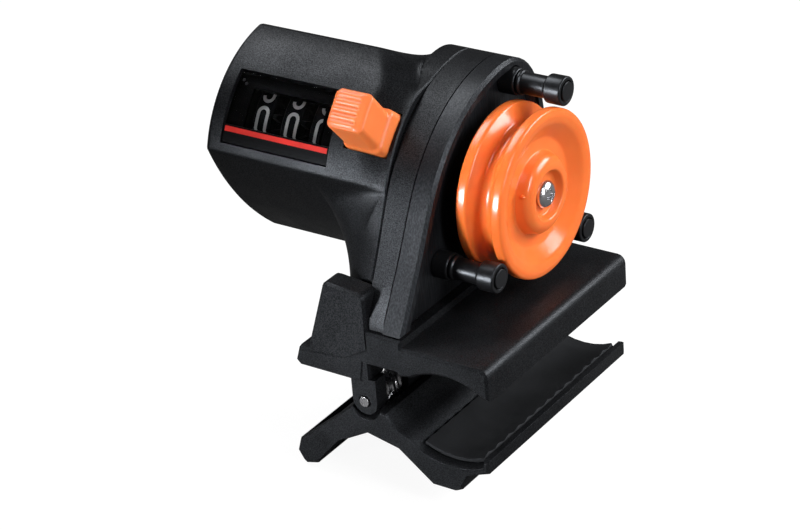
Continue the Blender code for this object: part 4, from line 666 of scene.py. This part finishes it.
def numeral_paths(digit):
    """Centre lines of a plain tall numeral in a box of half width 1 and half height 1, with round turns."""
    cap = NUMERAL_HALF_WIDTH / NUMERAL_HALF_HEIGHT
    top = bend((0, 1 - cap), 1, cap, 0, 180)
    foot = bend((0, cap - 1), 1, cap, 180, 360)
    if digit == 0:
        return [np.vstack((top, foot, top[:1]))]
    if digit == 1:
        return [np.array(((-0.7, 0.7), (0.2, 1.0), (0.2, -1.0)))]
    if digit == 2:
        return [np.vstack((top[::-1], ((1.0, 0.35), (-1.0, -1.0), (1.0, -1.0))))]
    if digit == 3:
        return [np.vstack((top[::-1], bend((0, cap), 1, cap, 0, -90))),
                np.vstack((bend((0, -cap), 1, cap, 90, 0), foot[::-1]))]
    if digit == 4:
        return [np.array(((0.5, -1.0), (0.5, 1.0), (-1.0, -0.45), (1.0, -0.45)))]
    if digit == 5:
        flag = ((1.0, 1.0), (-1.0, 1.0), (-1.0, 0.05))
        return [np.vstack((flag, bend((0, 0.05 - cap), 1, cap, 90, 0), foot[::-1]))]
    if digit == 7:
        return [np.array(((-1.0, 1.0), (1.0, 1.0), (-0.3, -1.0)))]
    if digit == 8:
        return [np.vstack((top, bend((0, cap), 1, cap, 180, 360), top[:1])),
                np.vstack((bend((0, -cap), 1, cap, 0, 180), foot, ((1, -cap),)))]
    nine = np.vstack((foot, top, bend((0, 0.1 + cap), 1, cap, 180, 360)))
    return [nine if digit == 9 else -nine]


def printed_stroke(path, middle, turn):
    """Band of stroke width along a flat path, rolled on the drum round an angle, as grid rows (left, right)."""
    knots = path * (NUMERAL_HALF_WIDTH, NUMERAL_HALF_HEIGHT)
    run = np.concatenate(((0,), np.cumsum(np.linalg.norm(np.diff(knots, axis=0), axis=1))))
    fine = np.linspace(0, run[-1], 1 + int(run[-1] / STROKE_STEP))
    flat = np.column_stack((np.interp(fine, run, knots[:, 0]), np.interp(fine, run, knots[:, 1])))
    ahead = np.gradient(flat, axis=0)
    ahead /= np.linalg.norm(ahead, axis=1)[:, None]
    side = np.column_stack((-ahead[:, 1], ahead[:, 0])) * STROKE / 2
    rows = []
    for edge in (flat - side, flat + side):
        angle = turn - np.degrees(edge[:, 1] / WHEEL_RADIUS)
        ring = WHEELS + (WHEEL_RADIUS + PRINT_RISE) * directions(angle)
        rows.append(np.column_stack((middle + edge[:, 0], ring)))
    return np.array(rows)


satin_drum = moulded_plastic("satin_drum", (0.0055, 0.0055, 0.0060), 0.46, 0.3 * MM, 0.006 * MM, specular=0.08)
white_print = moulded_plastic("white_print", (0.62, 0.62, 0.60), 0.55, 0.2 * MM, 0.004 * MM, patch=0.12,
                              fleck=0.1)
for wheel, middle in NUMERAL_MIDDLES.items():
    stand_for(softened(wheel), wheel, satin_drum)
    points = []
    faces = []
    for digit in range(10):
        for path in numeral_paths(digit):
            band = printed_stroke(path, middle, NUMERAL_TURN + DIGIT_TURN * digit)
            count = band.shape[1]
            first = sum(len(block) for block in points)
            points.append(band.reshape(-1, 3))
            low = first + np.arange(count - 1)
            faces.append(np.stack((low, low + 1, low + 1 + count, low + count), -1))
    mesh = bpy.data.meshes.new(f"{wheel}_numerals")
    mesh.from_pydata(np.vstack(points).tolist(), [], np.vstack(faces).tolist())
    numerals = bpy.data.objects.new(f"{wheel}_numerals", mesh)
    bpy.context.scene.collection.objects.link(numerals)
    ink = numerals.modifiers.new("ink", "SOLIDIFY")
    ink.thickness = PRINT_RISE
    ink.offset = -1.0
    mesh.materials.append(white_print)
    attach(numerals, body_of[wheel])

acetal = moulded_plastic("white_acetal", (0.72, 0.71, 0.67), 0.42, 0.4 * MM, 0.004 * MM, patch=0.05, fleck=0.0)
dress(acetal, "main_pinion", "idler_gear", "drive_wheel", "units_transfer_pinion", "tens_transfer_pinion",
      "hundreds_transfer_pinion", "reset_hammer")

# Reset button. Solid orange acetal with five grip ribs over its top, standing on a thin lip round its slot.
# Its rings are given in millimetres as a height over the hood, four sides (low and high along X, low and
# high along the hood) and a corner radius.

BUTTON_TOP = 8.6
BUTTON_BASE = -4.4
LIP = (-5.35, 5.35, -5.35, 5.35)
LIP_EDGE = (-5.28, 5.28, -5.28, 5.28)
LIP_TOP = (-5.1, 5.1, -5.12, 5.1)
LIP_HEIGHTS = (0.1, 0.45, 0.75)
WAIST = (-4.75, 4.75, -4.85, 4.75)
WAIST_HEIGHT = 1.1
CROWN = (-6.15, 3.85, -3.05, 6.45)
CROWN_ROUND = 1.1
CROWN_FIRST_SHARE = 0.08
FOOT_CORNER = 1.3
WAIST_CORNER = 1.8
CROWN_CORNER = 1.6
RIB_PITCH = 1.7
RIB_DEPTH = 0.50
RIB_OFFSET = 0.5
RIB_POWER = 0.7
RIB_HEIGHTS = (7.95, 8.45)
RIB_END = (2.0, 2.8)
RIB_SIDE = (0.3, 0.7)
DIP_RUN = 2.3
DIP_DEPTH = 0.25
SIDE_STEPS = 44
FLANK_RINGS = 12
TOP_FIRST_SHARE = 0.98
TOP_RINGS = 44
ROUND_TURNS = (15, 30, 45, 60, 75, 90)
SOFT_SHARP = 50.0


def ramp(value, start, end):
    """Share of the way from one value to another, kept between nought and one."""
    return np.clip((value - start) / (end - start), 0, 1)


def rounded_ring(low_x, high_x, low_run, high_run, corner):
    """Rectangle with rounded corners as a ring of (x, along): quarter circles joined by straight runs."""
    quarter = np.linspace(0, 90, 9)
    share = np.linspace(0, 1, SIDE_STEPS, endpoint=False)[1:, None]
    turns = [np.array(centre) + corner * directions(first + quarter) for centre, first in (
        ((high_x - corner, high_run - corner), 0), ((low_x + corner, high_run - corner), 90),
        ((low_x + corner, low_run + corner), 180), ((high_x - corner, low_run + corner), 270))]
    ring = []
    for turn, ahead in zip(turns, turns[1:] + turns[:1]):
        ring += [turn, turn[-1] + (ahead[0] - turn[-1]) * share]
    return np.vstack(ring)


button_levels = [(BUTTON_BASE, LIP, FOOT_CORNER)]
for height, side in zip((*LIP_HEIGHTS, WAIST_HEIGHT), (LIP, LIP_EDGE, LIP_TOP, WAIST)):
    button_levels.append((height, side, WAIST_CORNER))
for share in np.linspace(CROWN_FIRST_SHARE, 1, FLANK_RINGS):
    side = tuple(low + (high - low) * share for low, high in zip(WAIST, CROWN))
    height = WAIST_HEIGHT + (BUTTON_TOP - CROWN_ROUND - WAIST_HEIGHT) * share
    button_levels.append((height, side, WAIST_CORNER + (CROWN_CORNER - WAIST_CORNER) * share))
for turn in ROUND_TURNS:
    ease = CROWN_ROUND * (1 - math.cos(math.radians(turn)))
    side = (CROWN[0] + ease, CROWN[1] - ease, CROWN[2] + ease, CROWN[3] - ease)
    button_levels.append((BUTTON_TOP - CROWN_ROUND * (1 - math.sin(math.radians(turn))), side, CROWN_CORNER))
rings = [(height, rounded_ring(*side, corner)) for height, side, corner in button_levels]
top_ring = rings[-1][1]
top_middle = np.array((sum(button_levels[-1][1][:2]), sum(button_levels[-1][1][2:]))) / 2
for share in np.linspace(TOP_FIRST_SHARE, 0.0, TOP_RINGS):
    rings.append((BUTTON_TOP, top_middle + (top_ring - top_middle) * share))
button_rows = []
for height, ring in rings:
    x, run = ring[:, 0], ring[:, 1]
    on_top = ramp(height, *RIB_HEIGHTS)
    rib = np.abs(np.sin(math.pi * (run - CROWN[2] - RIB_OFFSET) / RIB_PITCH)) ** RIB_POWER
    fade = ramp(CROWN[1] - x, *RIB_END) * ramp(run - CROWN[2], *RIB_SIDE) * ramp(CROWN[3] - run, *RIB_SIDE)
    dip = DIP_DEPTH * ramp(x, CROWN[1] - DIP_RUN, CROWN[1])
    lift = height - on_top * (RIB_DEPTH * (1 - rib) * fade + dip)
    button_rows.append(on_button(BUTTON_MIDDLE + x * MM, run * MM, HOOD_RADIUS + lift * MM))
button = grid_mesh("button_grip", np.array(button_rows), close_columns=True)
body = bmesh.new()
body.from_mesh(button.data)
bmesh.ops.holes_fill(body, edges=[edge for edge in body.edges if edge.is_boundary])
bmesh.ops.recalc_face_normals(body, faces=body.faces)
body.to_mesh(button.data)
body.free()
orange = moulded_plastic("orange_acetal", (0.80, 0.195, 0.050), 0.38, 0.35 * MM, 0.003 * MM, patch=0.05,
                         specular=0.5, fleck=0.0, depth_glow=0.25)
stand_for(smooth(button, SOFT_SHARP), "reset_button", orange)

# Front cover. A smoother black moulding with a raised rim round a sunk face; its outer wall shows fine
# upright drag lines from the mould.

COVER_EDGE = 0.42 * MM
satin_black = moulded_plastic("satin_black", (0.0060, 0.0063, 0.0075), 0.40, 0.32 * MM, 0.030 * MM, specular=0.27,
                              drag=(1.0, 1.0, 0.05), glint=0.35)
stand_for(softened("front_cover", COVER_EDGE, 3), "front_cover", satin_black)

# Pulley. One orange acetal turning with a V groove, a dished outer face round its hub and two moulded gate
# pips, held on the shaft by a domed screw. The metal pieces inside share the screw's finishes.

SHAFT = np.array((10.1, 38.5)) * MM
FILLET_STEPS = 7
FILLET_LIMIT = 2.05
NO_FILLET = 1e-6
TURNED_SHARP = 40.0


def turned(name, centre, profile, steps=144, closed=False):
    """Profile of (x, radius, fillet) corners in millimetres swept round an axis along X.

    Each corner is replaced by a quadratic curve that starts and ends a fillet away from it.
    """
    corners = np.array([row[:2] for row in profile], float)
    soft = [row[2] for row in profile]
    line = []
    for here, corner in enumerate(corners):
        before = corners[here - 1] if here or closed else corner
        after = corners[(here + 1) % len(corners)] if here + 1 < len(corners) or closed else corner
        span_before = np.linalg.norm(before - corner)
        span_after = np.linalg.norm(after - corner)
        reach = min(soft[here], span_before / FILLET_LIMIT, span_after / FILLET_LIMIT)
        if reach < NO_FILLET:
            line.append(corner[None])
            continue
        share = np.linspace(0, 1, FILLET_STEPS)[:, None]
        start = corner + (before - corner) / span_before * reach
        end = corner + (after - corner) / span_after * reach
        line.append((1 - share) ** 2 * start + 2 * share * (1 - share) * corner + share ** 2 * end)
    line = np.vstack(line) * MM
    sweep = directions(np.linspace(0, 360, steps, endpoint=False))
    flat = centre + line[:, 1, None, None] * sweep[None]
    x = np.broadcast_to(line[:, 0, None, None], flat.shape[:2] + (1,))
    made = grid_mesh(name, np.concatenate((x, flat), -1), close_rows=closed, close_columns=True)
    return smooth(made, TURNED_SHARP)


PULLEY_PIPS = (("pulley_pip_front", 160.0), ("pulley_pip_rear", 341.0))
PIP_REACH = 9.45 * MM
PIP_FOOT = 2.3 * MM
PIP_HEIGHT = 0.95 * MM
PIP_RADIUS = 0.5 * MM
PULLEY_PROFILE = (
    (2.4, 2.3, 0), (2.4, 5.2, 0.3), (4.3, 5.9, 0.5), (4.2, 7.6, 1.0), (3.2, 9.2, 0.8), (0.8, 9.9, 0.35),
    (0.8, 12.9, 0.5), (3.2, 16.6, 0.7), (3.6, 18.4, 0.5), (3.3, 20.0, 0.7), (0.9, 20.0, 0.5), (-1.2, 16.3, 0.9),
    (-2.5, 15.9, 0.6), (-3.8, 16.3, 0.9), (-5.9, 20.0, 0.5), (-8.5, 20.0, 0.7), (-8.5, 16.2, 0.5),
    (-6.6, 13.0, 0.8), (-6.6, 9.8, 0.6), (-8.5, 9.0, 0.4), (-8.5, 2.3, 0.1))
pulley = turned("pulley_wheel", SHAFT, PULLEY_PROFILE, closed=True)
glossy_orange = moulded_plastic("glossy_orange", (0.82, 0.175, 0.034), 0.20, 0.35 * MM, 0.002 * MM, patch=0.04,
                                specular=0.5, fleck=0.0, depth_glow=0.30)
stand_for(pulley, "line_pulley", glossy_orange)
for name, angle in PULLEY_PIPS:
    foot = (PIP_FOOT, *(SHAFT + PIP_REACH * directions(angle)))
    pip = domed_pip(name, foot, np.eye(3), PIP_RADIUS, PIP_HEIGHT, rings=6, steps=16)
    pip.data.materials.append(glossy_orange)
    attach(pip, body_of["line_pulley"])

METAL_SWAY = 0.08
METAL_SMOOTHEST = 0.02
METAL_LINE_DEPTH = 0.01 * MM


def bright_metal(name, colour, roughness, streak=(400.0, 400.0, 400.0)):
    """Turned or drawn metal: noise stretched along the cutter's path varies roughness and a slight bump."""
    made = bpy.data.materials.new(name)
    made.use_nodes = True
    tree = made.node_tree
    shader = tree.nodes["Principled BSDF"]
    shader.inputs["Metallic"].default_value = 1.0
    shader.inputs["Base Color"].default_value = (*colour, 1.0)
    lines = noise(tree, 1.0, 4.0, streak)
    low = max(METAL_SMOOTHEST, roughness - METAL_SWAY)
    tree.links.new(ranged(tree, lines, (0.0, 1.0), (low, roughness + METAL_SWAY)), shader.inputs["Roughness"])
    raised(tree, lines, 0.3, METAL_LINE_DEPTH)
    return made


chrome = bright_metal("bright_screw", (0.70, 0.70, 0.72), 0.24)
HEAD_RADIUS = 3.3 * MM
HEAD_RISE = 2.0 * MM
HEAD_FOOT = 2.8 * MM
DOME_SPREAD = 1.02
CROSS_HALF = 0.36 * MM
CROSS_REACH = 1.7 * MM
CROSS_DEPTH = 1.0 * MM
CROSS_SIDE = 0.15 * MM
CROSS_END = 0.4 * MM
SCREW_STEPS = 240
FINE_EDGE = 0.1 * MM
SHANK = ((2.8, 3.3), (2.55, 3.1), (2.55, 1.0), (-4.5, 1.0), (-4.5, 0.0))
radii = np.concatenate((np.linspace(0, 2.0, 50), np.linspace(2.06, 3.3, 16))) * MM
sweep = directions(np.linspace(0, 360, SCREW_STEPS, endpoint=False))
head = radii[:, None, None] * sweep[None]
dome_share = np.linalg.norm(head, axis=-1) / (HEAD_RADIUS * DOME_SPREAD)
rise = HEAD_RISE * np.sqrt(np.maximum(1 - dome_share ** 2, 0))
arm = np.abs(head).min(axis=-1)
reach = np.abs(head).max(axis=-1)
recess = CROSS_DEPTH * ramp(CROSS_HALF - arm, 0, CROSS_SIDE) * ramp(CROSS_REACH - reach, 0, CROSS_END)
dome = np.concatenate(((HEAD_FOOT + rise - recess)[..., None], SHAFT + head), -1)
shank = np.array([np.column_stack((np.full(SCREW_STEPS, place * MM), SHAFT + radius * MM * sweep))
                  for place, radius in SHANK])
screw = grid_mesh("pulley_screw_head", np.concatenate((dome, shank)), close_columns=True)
stand_for(smooth(screw, TURNED_SHARP), "pulley_screw", chrome)
steel = bright_metal("drawn_steel", (0.56, 0.56, 0.58), 0.28, (5000.0, 900.0, 900.0))
stand_for(softened("main_shaft"), "main_shaft", steel)
dress(steel, "idler_pin", "number_wheel_shaft", "pinion_shaft", "hammer_pin", "reset_spring", "barrel_screw_1",
      "barrel_screw_2", "barrel_screw_3")
for name in ("cover_screw_near", "cover_screw_far", "hinge_pin"):
    stand_for(softened(name, FINE_EDGE), name, steel)
brass = bright_metal("turned_brass", (0.72, 0.50, 0.20), 0.25)
stand_for(softened("shaft_bush"), "shaft_bush", brass)

# Line guides. Three satin black posts round the pulley, each a fixed pin with a collar and a free roller
# that ends in a wide cap.

GUIDE_REACH = 23.85 * MM
GUIDE_ANGLES = (("upper", 62.9), ("front", 209.3), ("rear", 315.7))
GUIDE_STEPS = 72
PIN_PROFILE = (
    (-15.4, 0.0, 0), (-15.4, 1.6, 0.2), (-13.2, 1.6, 0), (-13.2, 3.3, 0), (-9.2, 3.3, 0.55), (-9.2, 1.2, 0),
    (2.8, 1.2, 0), (2.8, 2.3, 0), (3.5, 2.3, 0.2), (3.5, 0.0, 0))
ROLLER_PROFILE = (
    (-8.9, 1.5, 0), (-8.9, 3.0, 0.25), (-8.3, 3.05, 0.2), (-7.9, 2.6, 0.2), (-1.6, 2.6, 0.25), (-1.1, 3.45, 0.3),
    (3.2, 3.5, 0.55), (3.2, 2.6, 0.15), (2.5, 2.6, 0), (2.5, 1.5, 0))
satin_post = moulded_plastic("satin_post", (0.0060, 0.0060, 0.0066), 0.36, 0.25 * MM, 0.008 * MM, specular=0.36,
                             fleck=0.12)
for name, angle in GUIDE_ANGLES:
    centre = SHAFT + GUIDE_REACH * directions(angle)
    pin = turned(f"{name}_guide_post", centre, PIN_PROFILE, steps=GUIDE_STEPS)
    stand_for(pin, f"{name}_guide_pin", satin_post)
    roller = turned(f"{name}_guide_sleeve", centre, ROLLER_PROFILE, steps=GUIDE_STEPS, closed=True)
    stand_for(roller, f"{name}_guide_roller", satin_post)

# Clamp. The rocking lower jaw is moulded like the case; a ribbed rubber pad lies between its raised rims
# and a thin liner in the upper saddle. Two bright torsion springs push it shut round the hinge pin.

PAD_EDGE = 0.15 * MM
stand_for(softened("lower_jaw", CASE_EDGE), "lower_jaw", grained_black)
rubber = moulded_plastic("black_rubber", (0.0075, 0.0075, 0.008), 0.66, 0.3 * MM, 0.02 * MM, specular=0.3,
                         fleck=0.2)
stand_for(softened("jaw_pad", PAD_EDGE), "jaw_pad", rubber)
stand_for(softened("saddle_pad", FINE_EDGE), "saddle_pad", rubber)
for name in ("front_jaw_spring", "rear_jaw_spring"):
    stand_for(softened(name, sharp=SOFT_SHARP), name, steel)
